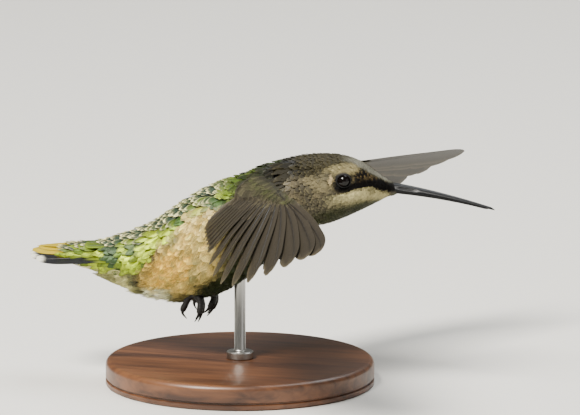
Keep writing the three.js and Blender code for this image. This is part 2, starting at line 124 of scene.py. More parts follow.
# Rows of wing coverts: share of the way to the leading edge, length and width against the flight feather's,
# count, and how green they are.
WING_COVERTS = (
    (0.0, 0.42, 0.8, 22, 0.0),
    (0.2, 0.27, 0.7, 24, 0.1),
    (0.4, 0.2, 0.62, 26, 0.25),
    (0.58, 0.16, 0.55, 27, 0.4),
    (0.76, 0.13, 0.5, 28, 0.4),
    (0.92, 0.11, 0.45, 28, 0.3),
)

TAIL = {
    "root": (-14.5, 0.0, 24.55), "pitch": math.radians(3.8), "pairs": 5,
    "length": (22.3, 23.2, 23.4, 23.0, 21.8), "half_fan": math.radians(7.5),
    "root_spread": 0.35, "width": (4.6, 3.9), "drop": 0.42, "rise": 0.06,
    "roll": (math.radians(6), math.radians(26)),
}
# Shares of each pair's length that are white at the tip and black before it, from the middle pair out.
TAIL_WHITE = (0, 0, 0.01, 0.02, 0.03)
TAIL_BLACK = (0, 0, 0.3, 0.5, 0.52)
# Rows of tail coverts: root back, count, length, width, height over the tail at root and tip, and spread.
UPPER_TAIL_COVERTS = (
    (9.8, 7, 4.4, 1.4, 0.5, 0.5, 2.4),
    (11.4, 6, 4.6, 1.5, 0.45, 0.35, 2.2),
    (12.8, 6, 4.8, 1.5, 0.4, 0.25, 1.9),
)
UNDER_TAIL_COVERTS = (
    (7.0, 7, 5.8, 2.0, -6.0, -4.6, 2.9),
    (8.2, 7, 6.0, 2.0, -5.4, -3.8, 2.6),
    (9.4, 6, 6.4, 2.1, -4.7, -2.9, 2.2),
    (10.4, 6, 6.8, 2.2, -4.1, -2.1, 1.8),
)

# Stretches of the coat: from and to along the body, the feathers' slot, and how drawn out they are.
COAT = (
    ("coat_rump", -1, 2.6, "body_feathers", 1.2),
    ("coat_back_and_belly", 2.6, 7.0, "body_feathers", 1.0),
    ("coat_neck", 7.0, 8.6, "head_feathers", 1.0),
    ("coat_head", 8.6, 10.4, "head_feathers", 1.0),
    ("coat_face", 10.4, LAST + 1, "head_feathers", 1.0),
)
# A contour feather: length and width against its row's spacing, how far its tip stands out, how unevenly it
# lies in radians, how ragged its tip is, and how far its keel is under it.
CONTOUR = {
    "length": (2.2, 2.9), "width": (1.3, 1.75), "tip": 0.07, "uneven": 0.13, "ragged": 0.016, "keel": 0.04,
}
# Neighbours in a row stand this share of the rows' distance apart.
SIDE_BY_SIDE = 0.92
# Near the eyes no feather is spaced wider than most, and before them they shrink with the lids' distance.
NEAR_EYES = {"within": 1.1, "most": 0.26, "before": 0.4, "share": 0.42}
SCAPULARS = {
    "count": 90, "t": (5.5, 7.1), "degrees": (22, 50), "spacing": 1.25, "ruffle": 0.6, "slim": 1.5,
}

# Loose plumes: length, width, how far the tip stands out, and the number and radius of their barbs.
PLUME = {"length": (1.9, 3.0), "width": (0.9, 1.5), "tip": (0.02, 0.14), "barbs": 9, "barb": 0.035}
DOWN = {"length": (2.0, 3.0), "width": (1.0, 1.7), "tip": (0.25, 0.8), "barbs": 11, "barb": 0.035}
PLUME_STRETCHES = (("rear", 0.4, 3.4), ("front", 3.4, 6.8))
# Upper edge of the plumes: places along the body, and degrees down from the back's midline.
PLUME_EDGE = ((0.4, 1.5, 2.2, 3.0, 4, 5, 6.8), (118, 100, 84, 66, 50, 60, 78))
# Tufts of down: how many, their middle and spread, or first and last place, along the body and round it.
LEG_TUFT = {"count": 110, "t": (3.25, 0.2), "degrees": (160, 7)}
VENT_DOWN = {"count": 260, "t": (1.6, 2.8), "degrees": (180, 25)}

# How far the green reaches down each side: places along X, and degrees down from the back's midline.
GREEN_EDGE = (
    (-26, -21.5, -16.8, -13.8, -12.0, -9.5, -6.5, -3.5, 0, 6),
    (112, 104, 94, 82, 70, 59, 44, 47, 50, 48),
)
# Round marks: x and degrees down from the back's midline, and half their size in both.
MARKS = {
    "warm_flank": ((-10.5, 104), (7.2, 34)),
    "dark_vent": ((-16.9, 124), (1.5, 13)),
    "round_eye": ((18.2, 60), (4.2, 30)),
    # A painted pool of light on the side of the rump.
    "painted_light_back": ((-14.0, 62), (6.0, 28)),
    "gap_shade": ((-12.6, 78), (0.9, 10)),
}
# The flank's streaks turn down from straight back by the angle of this sine and cosine, and go round a body
# of this radius.
STREAK_LEAN = (0.77, 0.64)
FLANK_RADIUS = 9.0
# The mouth's line, carried on over the face: forward of the eye's middle and above it.
GAPE = (
    (-4, -1.5, 1.3, 2.5, 4.5, 5.7, 6.9, 8.6),
    (-3.4, -2.3, -1.75, -1.35, -1.05, -1.2, -1.75, -2.1),
)
# Pale marks by the eye: forward of its middle and above it, half size in both, and how soft they are.
EYE_MARKS = (
    ("brow", (0.5, 1.85), (3.3, 1.0), 0.4),
    ("eye_spot", (-1.75, 0.25), (0.45, 1.0), 0.5),
)

HIP_Y = 3.1
ANKLE = {RIGHT: (-7.6, 16.0), LEFT: (-6.6, 15.9)}
DRAWN_BACK = {RIGHT: 0.0, LEFT: math.radians(14)}
# Points of a toe below the ankle, forward and up, down to the claw's tip.
FRONT_TOE = ((0, 0.2), (0.95, -0.3), (1.4, -1.3), (1.4, -2.5), (1.15, -3.7), (0.7, -4.7))
HIND_TOE = ((0, 0.2), (-1.05, -0.4), (-1.6, -1.6), (-2.05, -2.5), (-2.1, -3.35), (-1.35, -4.2))
# Each front toe's splay to the outside and how much further it is curled in.
FRONT_TOES = ((-0.95, 0.75), (0.0, 0.0), (0.95, 0.35))
TOE = {"radius": 0.66, "claw": 0.4, "claw_tip": 0.05, "claw_share": 0.34}
# Points of the shank at the ankle, forward and up, and its radius at both ends.
SHANK = ((-0.9, 2.6), (-0.3, 0.9), (0.0, -0.15))
SHANK_RADIUS = (0.75, 0.62)

STAND = {
    "radius": 24.0, "height": 4.5, "edge": 1.0, "rod": 1.0, "rod_foot": 2.2, "rod_top": 23.3,
    "collar_radius": 2.4, "collar_height": 1.1, "gap": 0.3,
}

CAMERA = {
    "azimuth": math.radians(16), "elevation": math.radians(11), "distance": 1500.0,
    "width": 103.6, "right": 8.93, "up": 26.9, "sensor": 36.0,
}
# Soft lights: place and size in metres, power in watts, and colour.
LIGHTS = {
    "key_softbox": ((-0.25, -0.55, 0.75), 0.34, 23.5, (1.0, 0.965, 0.9)),
    "top_softbox": ((0.15, 0.35, 0.8), 0.6, 7.5, (0.97, 0.99, 1.0)),
    "side_fill": ((0.9, -0.35, 0.3), 0.6, 1.0, (1.0, 0.98, 0.95)),
}
LIT_PLACE = (0.008, 0, 0.03)
AIR = {"colour": (0.94, 0.93, 0.89, 1), "strength": 0.17}
FLOOR_REACH = 6000.0


# ---------------------------------------------------------------- colours

def linear(code):
    """Linear RGB of an sRGB hex colour."""
    parts = np.array([int(code[i:i + 2], 16) / 255 for i in (1, 3, 5)])
    return np.where(parts <= 0.04045, parts / 12.92, ((parts + 0.055) / 1.055) ** 2.4)


def colour(name, code, about):
    """A colour property of the scene, with its default as an sRGB hex value."""
    return FloatVectorProperty(
        name=name, description=about, subtype="COLOR", size=3, min=0, max=1, default=tuple(linear(code))
    )


class HummingbirdSizes(bpy.types.PropertyGroup):
    """Sizes of the plumage."""

    coat_depth: FloatProperty(
        name="Coat depth", description="From the feathers' outer face down to the skin",
        default=0.55 * MM, min=0.2 * MM, max=1.5 * MM, unit="LENGTH",
    )
    back_spacing: FloatProperty(
        name="Back feather spacing", description="Between the tips of two rows on the back",
        default=1.2 * MM, min=0.5 * MM, max=3 * MM, unit="LENGTH",
    )
    crown_spacing: FloatProperty(
        name="Crown feather spacing", description="Between the tips of two rows on the crown",
        default=0.4 * MM, min=0.2 * MM, max=2 * MM, unit="LENGTH",
    )
    face_spacing: FloatProperty(
        name="Face feather spacing", description="Between the tips of two rows at the bill's root",
        default=0.27 * MM, min=0.15 * MM, max=1 * MM, unit="LENGTH",
    )
    soft_plumes: IntProperty(
        name="Soft plumes", description="How many loose plumes lie over each flank",
        default=1300, min=0, max=1500,
    )
    seed: IntProperty(name="Seed", description="Start of every random draw", default=7, min=0)


class HummingbirdColours(bpy.types.PropertyGroup):
    """Colours of the bird and its stand."""

    gold_green: colour("Gold green", "#9bad27", "Sides of the back, rump and upper tail coverts")
    bright_green: colour("Bright green", "#b2c928", "Brightest patches of the back")
    deep_green: colour("Deep green", "#39551a", "Shaded green feathers")
    # Dark slate centres, and along the back's ridge a painted reflection: the blue grey the green feathers
    # show at grazing angles.
    slate_and_grazing_reflection: colour("Slate", "#27342f", "Centres of the feathers along the back")
    pale_fringe: colour("Pale fringe", "#e8e2a2", "Edges of the feathers along the back")
    cinnamon: colour("Cinnamon buff", "#ecbb48", "Flanks")
    cream: colour("Cream", "#dccb82", "Light streaks of the flanks")
    flank_shade: colour("Flank shade", "#8a8752", "Greyer streaks of the flanks")
    # Painted shade: dark brown for the gap between back and flank feathers and the lines between the rump's
    # feathers.
    gap_shade: colour("Notch brown", "#2a2012", "Gap between back and flank feathers")
    # Painted shade with a painted green reflection: the underside darkened where the light from above doesn't
    # reach.
    belly_painted_shade: colour("Belly olive", "#1c2502", "Belly")
    down: colour("Down white", "#f6f7c4", "Vent tuft and leg tufts")
    vent_dark: colour("Vent green", "#2c3123", "Dusky patch in front of the under tail coverts")
    under_tail: colour("Under tail buff", "#d3cf8c", "Under tail coverts")
    under_tail_shade: colour("Under tail shade", "#94935c", "Shaded under tail coverts")
    # Near black: the nape's own dark brown deepened with painted shade, which also darkens the shoulders.
    nape_and_painted_shade: colour("Nape brown", "#040402", "Nape and shoulders")
    crown: colour("Crown olive", "#272312", "Crown")
    crown_fringe: colour("Crown fringe", "#574f32", "Edges of the crown's small feathers")
    # Painted reflection of the sky on the forehead.
    forehead_sky_reflection: colour("Forehead grey", "#a8a695", "Upper edge of the forehead")
    brow: colour("Brow buff", "#a2966b", "Over and behind the eye, and the face's fringes")
    cheek: colour("Cheek grey brown", "#433f33", "Cheek and side of the neck")
    ear: colour("Ear grey", "#5a523f", "Ear coverts")
    lore: colour("Lore black brown", "#080605", "Between the eye and the bill")
    face_dots: colour("Face dots", "#8d7850", "Fringes of the feathers between the eye and the forehead")
    eye_spot: colour("Eye spot", "#c2ad80", "Thin pale mark behind the eye")
    chin: colour("Chin buff", "#c4ba86", "Line from the bill's corner below the cheek")
    throat: colour("Throat grey buff", "#5c6047", "Throat")
    # Painted shade under the throat.
    throat_shade: colour("Throat shade", "#1f2307", "Underside of the throat")
    throat_streak: colour("Throat streak", "#33311f", "Fine dusky centres of the throat's feathers")
    # Grey breast darkened with painted shade on the underside.
    breast_grey_and_shade: colour("Breast grey", "#45432e", "Breast")
    flight: colour("Flight dusky", "#332e25", "Flight feathers")
    flight_edge: colour("Flight edge", "#5e5644", "Worn paler edges of the flight feathers")
    shaft: colour("Shaft brown", "#17130f", "Shafts of the flight feathers")
    tail_green: colour("Tail green", "#ad961f", "Middle tail feathers")
    tail_black: colour("Tail black", "#0c0d0f", "Band of the outer tail feathers")
    tail_white: colour("Tail white", "#d9d7c6", "Tips of the outer tail feathers")
    horn: colour("Bill horn", "#07080a", "Bill")
    claw: colour("Claw horn", "#080707", "Claws")
    foot: colour("Foot skin", "#0e0b09", "Toes")
    eye: colour("Eye", "#080504", "Eye")
    lid: colour("Lid skin", "#040303", "Bare rim of the eye")
    walnut: colour("Walnut", "#6b4429", "Wood of the base")
    walnut_dark: colour("Walnut grain", "#331c0f", "Dark grain of the base")
    steel: colour("Steel", "#b9b8b4", "Rod and collar")
    paper: colour("Floor", "#e4e2dc", "Studio floor")


def paint_of(name):
    """Linear colour of one of the scene's colour properties."""
    return np.array(getattr(bpy.context.scene.hummingbird_colours, name))


def size_of(name):
    """One of the scene's lengths, in millimetres."""
    return getattr(bpy.context.scene.hummingbird_sizes, name) / MM


def dice(which):
    """Seeded random numbers for one group of pieces."""
    return np.random.default_rng([bpy.context.scene.hummingbird_sizes.seed, which])


# ---------------------------------------------------------------- small tools

def mix(a, b, t):
    """a turned towards b by a share."""
    return a + (b - a) * t


def smooth(low, high, value):
    """0 below low, 1 above high, and an even curve between them. low may be the larger."""
    t = np.clip((np.asarray(value, float) - low) / (high - low), 0, 1)
    return t * t * (3 - 2 * t)


def blend_to(colours, other, share):
    """colours turned to another colour by a share for each point."""
    return colours + (other - colours) * np.asarray(share)[..., None]


def between(one, other, share):
    """Colours part of the way from one of the scene's colours to another, by a share for each point."""
    return mix(paint_of(one), paint_of(other), np.asarray(share)[..., None])


def full_turn(count):
    """Angles spaced evenly round a circle."""
    return np.linspace(0, TAU, count, endpoint=False)


def unit(vectors):
    """The vectors brought to length 1."""
    return vectors / np.maximum(np.linalg.norm(vectors, axis=-1, keepdims=True), 1e-12)


def mottle(points, size):
    """Blotches from about -1 to 1 of one size in millimetres, or of one size for each axis."""
    flat = (np.asarray(points, float) / size).reshape(-1, 3)
    values = [noise.noise(p) for p in flat.tolist()]
    return 1.7 * np.array(values).reshape(np.shape(points)[:-1])


def mesh_object(name, points, faces, paint=None, maps=(), flat=False, crease=50):
    """A mesh object from points in millimetres, faces, colours for each point and UV maps for each point.

    Edges that turn by more than the crease, in degrees, are drawn sharp.
    """
    mesh = bpy.data.meshes.new(name)
    mesh.from_pydata((np.asarray(points, float) * MM).tolist(), [], faces)
    mesh.validate()
    if not flat:
        mesh.shade_smooth()
        mesh.set_sharp_from_angle(angle=math.radians(crease))
    if paint is not None:
        layer = mesh.color_attributes.new(PAINT, "FLOAT_COLOR", "POINT")
        opaque = np.concatenate([np.asarray(paint), np.ones((len(paint), 1))], axis=1)
        layer.data.foreach_set("color", opaque.astype(np.float32).ravel())
    corners = np.empty(len(mesh.loops), np.int32)
    mesh.loops.foreach_get("vertex_index", corners)
    for map_name, places in dict(maps).items():
        layer = mesh.uv_layers.new(name=map_name)
        layer.uv.foreach_set("vector", np.asarray(places, np.float32)[corners].ravel())
    made = bpy.data.objects.new(name, mesh)
    bpy.context.scene.collection.objects.link(made)
    return made


def finish_piece(piece, material, slot, replaced=()):
    """Dresses a piece, fixes it to the bird and hides the solids that it replaces."""
    piece.data.materials.append(material)
    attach(piece, "root")
    if replaced:
        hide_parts(*replaced)
    return piece


def grid_faces(rings, sides, closed=True, first=0):
    """Quads between rings of points, all the way round when closed."""
    faces = []
    for i in range(rings - 1):
        for j in range(sides if closed else sides - 1):
            k = (j + 1) % sides
            a, b = first + i * sides + j, first + i * sides + k
            faces.append((a, b, b + sides, a + sides))
    return faces


def closed_loft(rings, first=0):
    """Points and outward faces of a closed tube through rings of points, an array (rings, sides, 3)."""
    count, sides, _ = rings.shape
    faces = grid_faces(count, sides, first=first)
    faces.append(tuple(first + j for j in reversed(range(sides))))
    faces.append(tuple(first + (count - 1) * sides + j for j in range(sides)))
    a = rings - rings[0].mean(axis=0)
    b = np.roll(a, -1, axis=1)
    volume = (a[:-1] * (np.cross(b[:-1], b[1:]) + np.cross(b[1:], a[1:]))).sum()
    volume += (a[-1].mean(axis=0) * np.cross(a[-1], b[-1])).sum()
    if volume < 0:
        faces = [face[::-1] for face in faces]
    return rings.reshape(-1, 3), faces


def curve_through(points, t):
    """A smooth curve through an array of points, at places counted in those points."""
    last = len(points) - 1
    i = np.clip(t.astype(int), 0, last - 1)
    f = (t - i)[..., None]
    a, b, c, d = (points[np.clip(i + k, 0, last)] for k in (-1, 0, 1, 2))
    return 0.5 * (2 * b + (c - a) * f + (2 * a - 5 * b + 4 * c - d) * f**2 + (3 * b - a - 3 * c + d) * f**3)


def smooth_path(points, count):
    """Points along a smooth curve through a few given ones, and the curve's direction at each."""
    at = curve_through(np.asarray(points, float), np.linspace(0, len(points) - 1, count))
    return at, unit(np.gradient(at, axis=0))


def tube(path, radii, sides, across=(0, 1, 0)):
    """Rings round a path, an array (points, sides, 3)."""
    at, along = path
    up = unit(np.cross(along, np.asarray(across, float)))
    side = unit(np.cross(up, along))
    a = full_turn(sides)[None, :, None]
    radii = np.asarray(radii, float)[:, None, None]
    return at[:, None] + radii * (up[:, None] * np.cos(a) + side[:, None] * np.sin(a))


class Pile:
    """Gathers points, faces, colours and maps of many small solids for one mesh."""

    def __init__(self):
        self.points, self.faces, self.paint, self.own, self.bake = [], [], [], [], []
        self.count = 0

    def add(self, points, faces, paint, own, cell):
        """Adds a solid. own is each point's place on its feather, and cell its patch in the bake's square."""
        self.faces.extend(tuple(i + self.count for i in face) for face in faces)
        self.count += len(points)
        self.points.append(points)
        self.paint.append(paint)
        self.own.append(own)
        self.bake.append(np.asarray(cell[0]) + own * np.asarray(cell[1]))

    def object(self, name):
        """One mesh object of all that was added."""
        maps = {VANE_MAP: np.concatenate(self.own), BAKE_MAP: np.concatenate(self.bake)}
        return mesh_object(name, np.concatenate(self.points), self.faces, np.concatenate(self.paint), maps)


def cells(count):
    """Patches of a square for a number of feathers: each one's corner and size."""
    across = math.ceil(math.sqrt(count * 4))
    rows = math.ceil(count / across)
    size = np.array([0.9 / across, 0.96 / rows])
    return [((0.01 + (i % across) / across, 0.01 + (i // across) / rows), size) for i in range(count)]


# ---------------------------------------------------------------- the body's surface

def station(t):
    """x, top, underside and half width at places along the body, straight on past both ends."""
    inside = np.clip(t, 0, LAST)
    beyond = (t - inside)[..., None]
    slope = np.where(beyond < 0, OVER_TAIL, STATIONS[-1] - STATIONS[-2])
    return np.moveaxis(curve_through(STATIONS, inside) + slope * beyond, -1, 0)


def body_point(t, a):
    """Point of the plumage's outer face at a place along the body and an angle from the top to the left."""
    x, top, bottom, half = station(t)
    return np.stack([x, half * np.sin(a), (top + bottom) / 2 + (top - bottom) / 2 * np.cos(a)], axis=-1)


def body_frame(t, a):
    """The surface's point, outward normal, and its change along the body and round it."""
    step = 1e-3
    along = (body_point(t + step, a) - body_point(t - step, a)) / (2 * step)
    round_ = (body_point(t, a + step) - body_point(t, a - step)) / (2 * step)
    return body_point(t, a), unit(np.cross(along, round_)), along, round_


def angle_of(a):
    """Angle from the back's midline, 0 to pi, alike on both sides."""
    return np.abs((a + math.pi) % TAU - math.pi)


# ---------------------------------------------------------------- markings

def band(value, low, high, soft):
    """1 between two values, falling to 0 over a soft edge on both sides."""
    return smooth(low - soft, low + soft, value) * smooth(high + soft, high - soft, value)


def spot(x, degrees, at, size):
    """1 in the middle of a round mark at (x, degrees), fading out to its size in millimetres and degrees."""
    away = np.hypot((x - at[0]) / size[0], (degrees - at[1]) / size[1])
    return smooth(1.1, 0.45, away)


# Points of the plumage with x, the angle from the back's midline in radians and in degrees, the same with a
# wavering edge, and three noises that break up the marks.
Place = namedtuple("Place", "points x angle straight degrees blotch fine patch")


def flank_streaks(place):
    """Streaks that run down and back over the flank, from about -1 to 1."""
    arc = FLANK_RADIUS * place.angle
    along = STREAK_LEAN[0] * arc - STREAK_LEAN[1] * place.x
    across = STREAK_LEAN[0] * place.x + STREAK_LEAN[1] * arc
    return mottle(np.stack([0.25 * along, 1.3 * across, 0.1 * place.points[..., 1]], axis=-1), 1.0)


def underside(place):
    """Painted shade on an olive belly and buff grey breast, warm flanks, and white and buff towards the tail.
    """
    x, degrees, fine, patch = place.x, place.degrees, place.fine, place.patch
    # The underside starts from the belly's painted shade.
    middle = np.broadcast_to(paint_of("belly_painted_shade"), place.points.shape).copy()
    # The breast's grey, darkened with painted shade.
    middle = blend_to(middle, paint_of("breast_grey_and_shade"), smooth(135, 105, degrees) * (0.8 + 0.2 * fine))
    middle = blend_to(middle, paint_of("throat"), smooth(9, 15, x) * smooth(148, 112, degrees))

    # The flank's warm patch, deepest low behind the wing, cooler and paler above, with soft streaks.
    flank = smooth(3.0, -4.5, x + 1.2 * patch) * smooth(-17.2, -13.2, x + 0.6 * place.blotch)
    flank = flank * smooth(158, 134, degrees)
    warm = spot(x, degrees, *MARKS["warm_flank"])
    strands = flank_streaks(place)
    shade = paint_of("flank_shade")
    tone = between("cream", "cinnamon", np.clip(0.3 + 0.6 * warm + 0.35 * strands, 0, 1))
    middle = blend_to(middle, tone, flank)
    middle = blend_to(middle, shade * 0.75, 0.75 * flank * smooth(0.15, 0.8, strands - 0.4 * fine))
    middle = blend_to(middle, shade, 0.85 * flank * smooth(0.15, 0.85, patch - 0.25 * warm))
    # Painted shade low on the flank before the legs, where the body turns under.
    middle = blend_to(middle, shade * 0.4, 0.8 * smooth(136, 150, degrees) * band(x, -8.0, 1.5, 1.5))

    # White down before the legs, a dark mark behind it, and grey buff on to the tail.
    under = smooth(-15.2, -17.6, x) * smooth(98, 112, degrees)
    middle = blend_to(middle, between("under_tail", "under_tail_shade", smooth(-0.3, 0.6, patch)), under)
    middle = blend_to(middle, paint_of("down"), band(x, -15.2, -10.2, 1.0) * smooth(126, 142, degrees))
    vent = spot(x, place.straight, *MARKS["dark_vent"])
    middle = blend_to(middle, paint_of("vent_dark"), 0.95 * vent)
    # Painted shade: the belly under the wing darkened to olive black.
    middle = blend_to(middle, paint_of("belly_painted_shade"), band(x, -5.0, 8.5, 1.5) * smooth(116, 130, degrees))
    return middle, middle * 1.25, mix(np.full(x.shape, 0.25), 0.08, flank)


def neck_and_cheek(place, middle, fringe, strength):
    """Grey brown and finely mottled, warmer round the eye."""
    head = smooth(7.5, 12.5, place.x)
    cheek = between("cheek", "ear", smooth(-0.2, 0.7, place.fine))
    middle = blend_to(middle, cheek, head * smooth(140, 112, place.degrees))
    warmth = spot(place.x, place.straight, *MARKS["round_eye"]) * smooth(-0.8, 0.4, place.fine)
    middle = blend_to(middle, paint_of("brow"), 0.3 * warmth)
    fringe = blend_to(fringe, between("brow", "cheek", 0.4), head)
    return middle, fringe, mix(strength, 0.4, head)


def green_back(place, middle, fringe, strength):
    """Green, lower towards the tail, with dark blue grey centres and pale fringes along the ridge."""
    x, degrees, fine, patch = place.x, place.degrees, place.fine, place.patch
    reach = np.interp(x, *GREEN_EDGE)
    green = smooth(reach + 4, reach - 4, degrees) * smooth(10.5, 3.5, x + place.blotch)
    # Painted light: a pool of brighter gold and bright green over the side of the rump.
    painted_light = spot(x, place.straight, *MARKS["painted_light_back"])
    shade = between("deep_green", "gold_green", smooth(-0.5, 0.55, patch + 0.25 * fine + 0.8 * painted_light))
    bright = smooth(0.35, 0.9, patch - 0.3 * place.blotch + 0.6 * painted_light)
    shade = blend_to(shade, paint_of("bright_green"), bright)
    # Painted reflection: along the ridge the green turns to slate, the blue grey of the feathers seen at
    # grazing angles.
    ridge = smooth(46, 30, degrees + 4 * patch) * smooth(4.0, -3.0, x)
    dusky = smooth(0.45, 0.85, -patch)
    shade = blend_to(shade, paint_of("slate_and_grazing_reflection"), np.clip(0.92 * ridge + 0.5 * dusky * (1 - ridge), 0, 1))
    middle = blend_to(middle, shade, green)
    # Fringes of the green feathers dulled towards the painted shade between them.
    dull = between("gap_shade", "deep_green", 0.4)
    pale = mix(dull, paint_of("pale_fringe"), smooth(0.1, 0.6, ridge + 0.25 * fine)[..., None])
    fringe = blend_to(fringe, pale, green)
    strength = mix(strength, 0.5 + 0.5 * ridge, green)
    # Painted shade in dark lines between the rump's green feathers beside the tail's root.
    streaks = green * band(x, -26.0, -19.5, 1.2) * band(place.straight, 74, 114, 7)
    fringe = blend_to(fringe, paint_of("gap_shade"), 0.35 * streaks)
    return middle, fringe, mix(strength, 0.6, streaks)


def shaded_mantle_and_gap(place, middle, fringe, strength):
    """Painted shade in dark brown and green over the wing's root, and in the dark gap between back and flank.
    """
    # Painted shade over the wing's root.
    shoulder_shade = band(place.x, 0.0, 9.5, 2.2) * smooth(58, 40, place.degrees)
    middle = blend_to(middle, between("nape_and_painted_shade", "deep_green", smooth(-0.2, 0.7, place.patch)), 0.85 * shoulder_shade)
    fringe = blend_to(fringe, paint_of("crown_fringe") * 0.7, 0.85 * shoulder_shade)
    strength = mix(strength, 0.3, shoulder_shade)
    # Painted shade in the gap between back and flank.
    at, size = MARKS["gap_shade"]
    leaning = place.x + size[0] * (place.straight - at[1]) / size[1]
    middle = blend_to(middle, paint_of("gap_shade"), 0.9 * spot(leaning, place.straight, at, size))
    return middle, fringe, strength


def crown_and_nape(place, middle, fringe, strength):
    """Dark grey brown with a pale frosting, painted shade at the nape, and a silvery painted sky reflection
    on the forehead.
    """
    x, fine = place.x, place.fine
    crown = smooth(6.5, 10.5, x) * smooth(62, 44, place.degrees)
    middle = blend_to(middle, between("nape_and_painted_shade", "crown", smooth(9, 16, x + 2 * fine)), crown)
    fringe = blend_to(fringe, paint_of("crown_fringe"), crown)
    strength = mix(strength, mix(0.04, 0.5, smooth(9, 16, x)), crown)
    # Painted reflection of the sky along the forehead's upper edge.
    front = smooth(19.0, 23.0, x) * smooth(27, 12, place.straight + 5 * fine)
    middle = blend_to(middle, paint_of("forehead_sky_reflection") * 0.52, front)
    return middle, blend_to(fringe, paint_of("forehead_sky_reflection"), front), strength


def above_mouth(place):
    """Height over the mouth's line, in millimetres."""
    off_x, off_z = place.x - EYE["x"], place.points[..., 2] - EYE["z"]
    return off_z - np.interp(off_x, *GAPE) + 0.12 * place.fine


def dark_face(place, middle, fringe, strength):
    """Dark from the eye to the bill, tan fringes over it, and pale marks over and behind the eye."""
    off_x, off_z = place.x - EYE["x"], place.points[..., 2] - EYE["z"]
    above = above_mouth(place)
    mask = smooth(1.6, 3.2, off_x) * smooth(0.5, 1.0, above) * smooth(20, 30, place.straight)
    dots = smooth(0.05, 0.45, mottle(place.points, 0.5))
    middle = blend_to(middle, between("lore", "face_dots", 0.35 * dots), 0.97 * mask)
    fringe = blend_to(fringe, between("lore", "face_dots", dots), mask)
    strength = mix(strength, 0.45 + 0.55 * dots, mask)

    lore = smooth(0.2, 1.6, off_x) * band(above, 0.0, 1.15, 0.25)
    lore = np.maximum(lore, smooth(2.1, 1.45, np.hypot(off_x - 0.35, off_z + 0.1)))
    middle = blend_to(middle, paint_of("lore"), lore)
    fringe = blend_to(fringe, paint_of("lore") * 1.6, lore)

    side = smooth(1.2, 2.2, np.abs(place.points[..., 1]))
    for tint, (forward, up), (long, high), edge in EYE_MARKS:
        mark = smooth(1.1, edge, np.hypot((off_x - forward) / long, (off_z - up) / high)) * side
        middle = blend_to(middle, paint_of(tint), 0.75 * mark)
        fringe = blend_to(fringe, paint_of(tint), 0.85 * mark)
    return middle, fringe, strength


def chin_and_throat(place, middle, fringe, strength):
    """Pale line from the bill's corner below the cheek, then the throat darkening to its underside."""
    low, x, fine = -above_mouth(place), place.x, place.fine
    chin = smooth(-0.15, 0.15, low) * smooth(3.2, 0.9, low + 0.3 * fine)
    chin = chin * smooth(17.0, 22.0, x + 0.8 * place.blotch) * smooth(28.9, 27.9, x)
    middle = blend_to(middle, paint_of("chin"), chin * (0.85 + 0.15 * fine))
    fringe = blend_to(fringe, paint_of("chin") * 1.2, chin)
    # Painted shade: the throat darkens towards its underside, away from the light above.
    dark = smooth(1.2, 3.4, low) * smooth(8, 14, x)
    shaded = dark * smooth(92, 138, place.straight + 4 * fine)
    middle = blend_to(middle, paint_of("throat_shade"), shaded)
    fringe = blend_to(fringe, paint_of("throat"), 0.7 * dark)
    strength = mix(strength, 0.3, np.maximum(chin, dark))
    streak = smooth(0.25, 0.8, mottle(place.points * (0.45, 1.0, 1.0), 0.9))
    streak = streak * np.maximum(0.5 * chin, 0.8 * dark)
    return blend_to(middle, paint_of("throat_streak"), streak), fringe, strength


def plumage(points, angle):
    """Colours of the plumage at points of the body: each feather's middle, its fringe and how strong that is.

    The marks are placed by x and by the angle down from the back's midline, and later ones lie over earlier.
    """
    straight = np.degrees(angle)
    blotch, fine = mottle(points, 4.5), mottle(points[..., ::-1] + 3.0, 1.7)
    patch = mottle(points[..., ::-1] - 7.0, 3.2)
    wavering = straight + 5 * blotch + 2.5 * fine
    place = Place(points, points[..., 0], angle, straight, wavering, blotch, fine, patch)
    look = underside(place)
    for marks in (neck_and_cheek, green_back, shaded_mantle_and_gap, crown_and_nape, dark_face, chin_and_throat):
        look = marks(place, *look)
    middle, fringe, strength = look
    return np.clip(middle, 0, 1), np.clip(fringe, 0, 1), strength


# ---------------------------------------------------------------- feathers

def vane_outline(s):
    """Half width at share s of a feather's length: narrow at its root, widest past half, round at its tip."""
    swell = 0.45 + 0.55 * np.sin(np.minimum(1, s / 0.55) * (math.pi / 2))
    return swell * np.where(s > 0.78, np.sqrt(np.maximum(0.02, 1 - ((s - 0.78) / 0.225) ** 2)), 1)


def lie_down(t, a):
    """How far the feathers turn down from straight back: most on the sides of rump and flank."""
    turn = np.interp(t, (0, 2, 4, 6, 8, 10, LAST), (0.45, 0.65, 0.6, 0.45, 0.38, 0.3, 0.12))
    return np.sin(np.clip(angle_of(a), 0, math.pi)) ** 1.5 * turn


def chart(t, a, down):
    """Each feather's root, and what a millimetre along the feather and one across it add to t and a.

    down is how far each feather turns down from straight back.
    """
    _, normal, along, round_ = body_frame(t, a)
    side = np.where(((a + math.pi) % TAU - math.pi) < 0, -1.0, 1.0)
    lie = unit(-unit(along) * np.cos(down)[:, None] + unit(round_) * (side * np.sin(down))[:, None])
    across = unit(np.cross(lie, normal))

    def in_surface(vector):
        """What a vector along the surface adds to t and a."""
        aa, ab, bb = ((p * q).sum(-1) for p, q in ((along, along), (along, round_), (round_, round_)))
        va, vb = (vector * along).sum(-1), (vector * round_).sum(-1)
        det = aa * bb - ab * ab
        return np.stack([(va * bb - vb * ab) / det, (vb * aa - va * ab) / det], axis=-1)

    return np.stack([t, a], axis=-1), in_surface(lie), in_surface(across)


def settle(roots, along, across, height):
    """Points over the plumage's outer face, from millimetres along and across each feather and outwards."""
    place, back, wide = (r.reshape(r.shape[0], *(1,) * (along.ndim - 1), 2) for r in roots)
    at = place + back * along[..., None] + wide * across[..., None]
    point, out, _, _ = body_frame(at[..., 0], at[..., 1])
    return point + out * height[..., None]


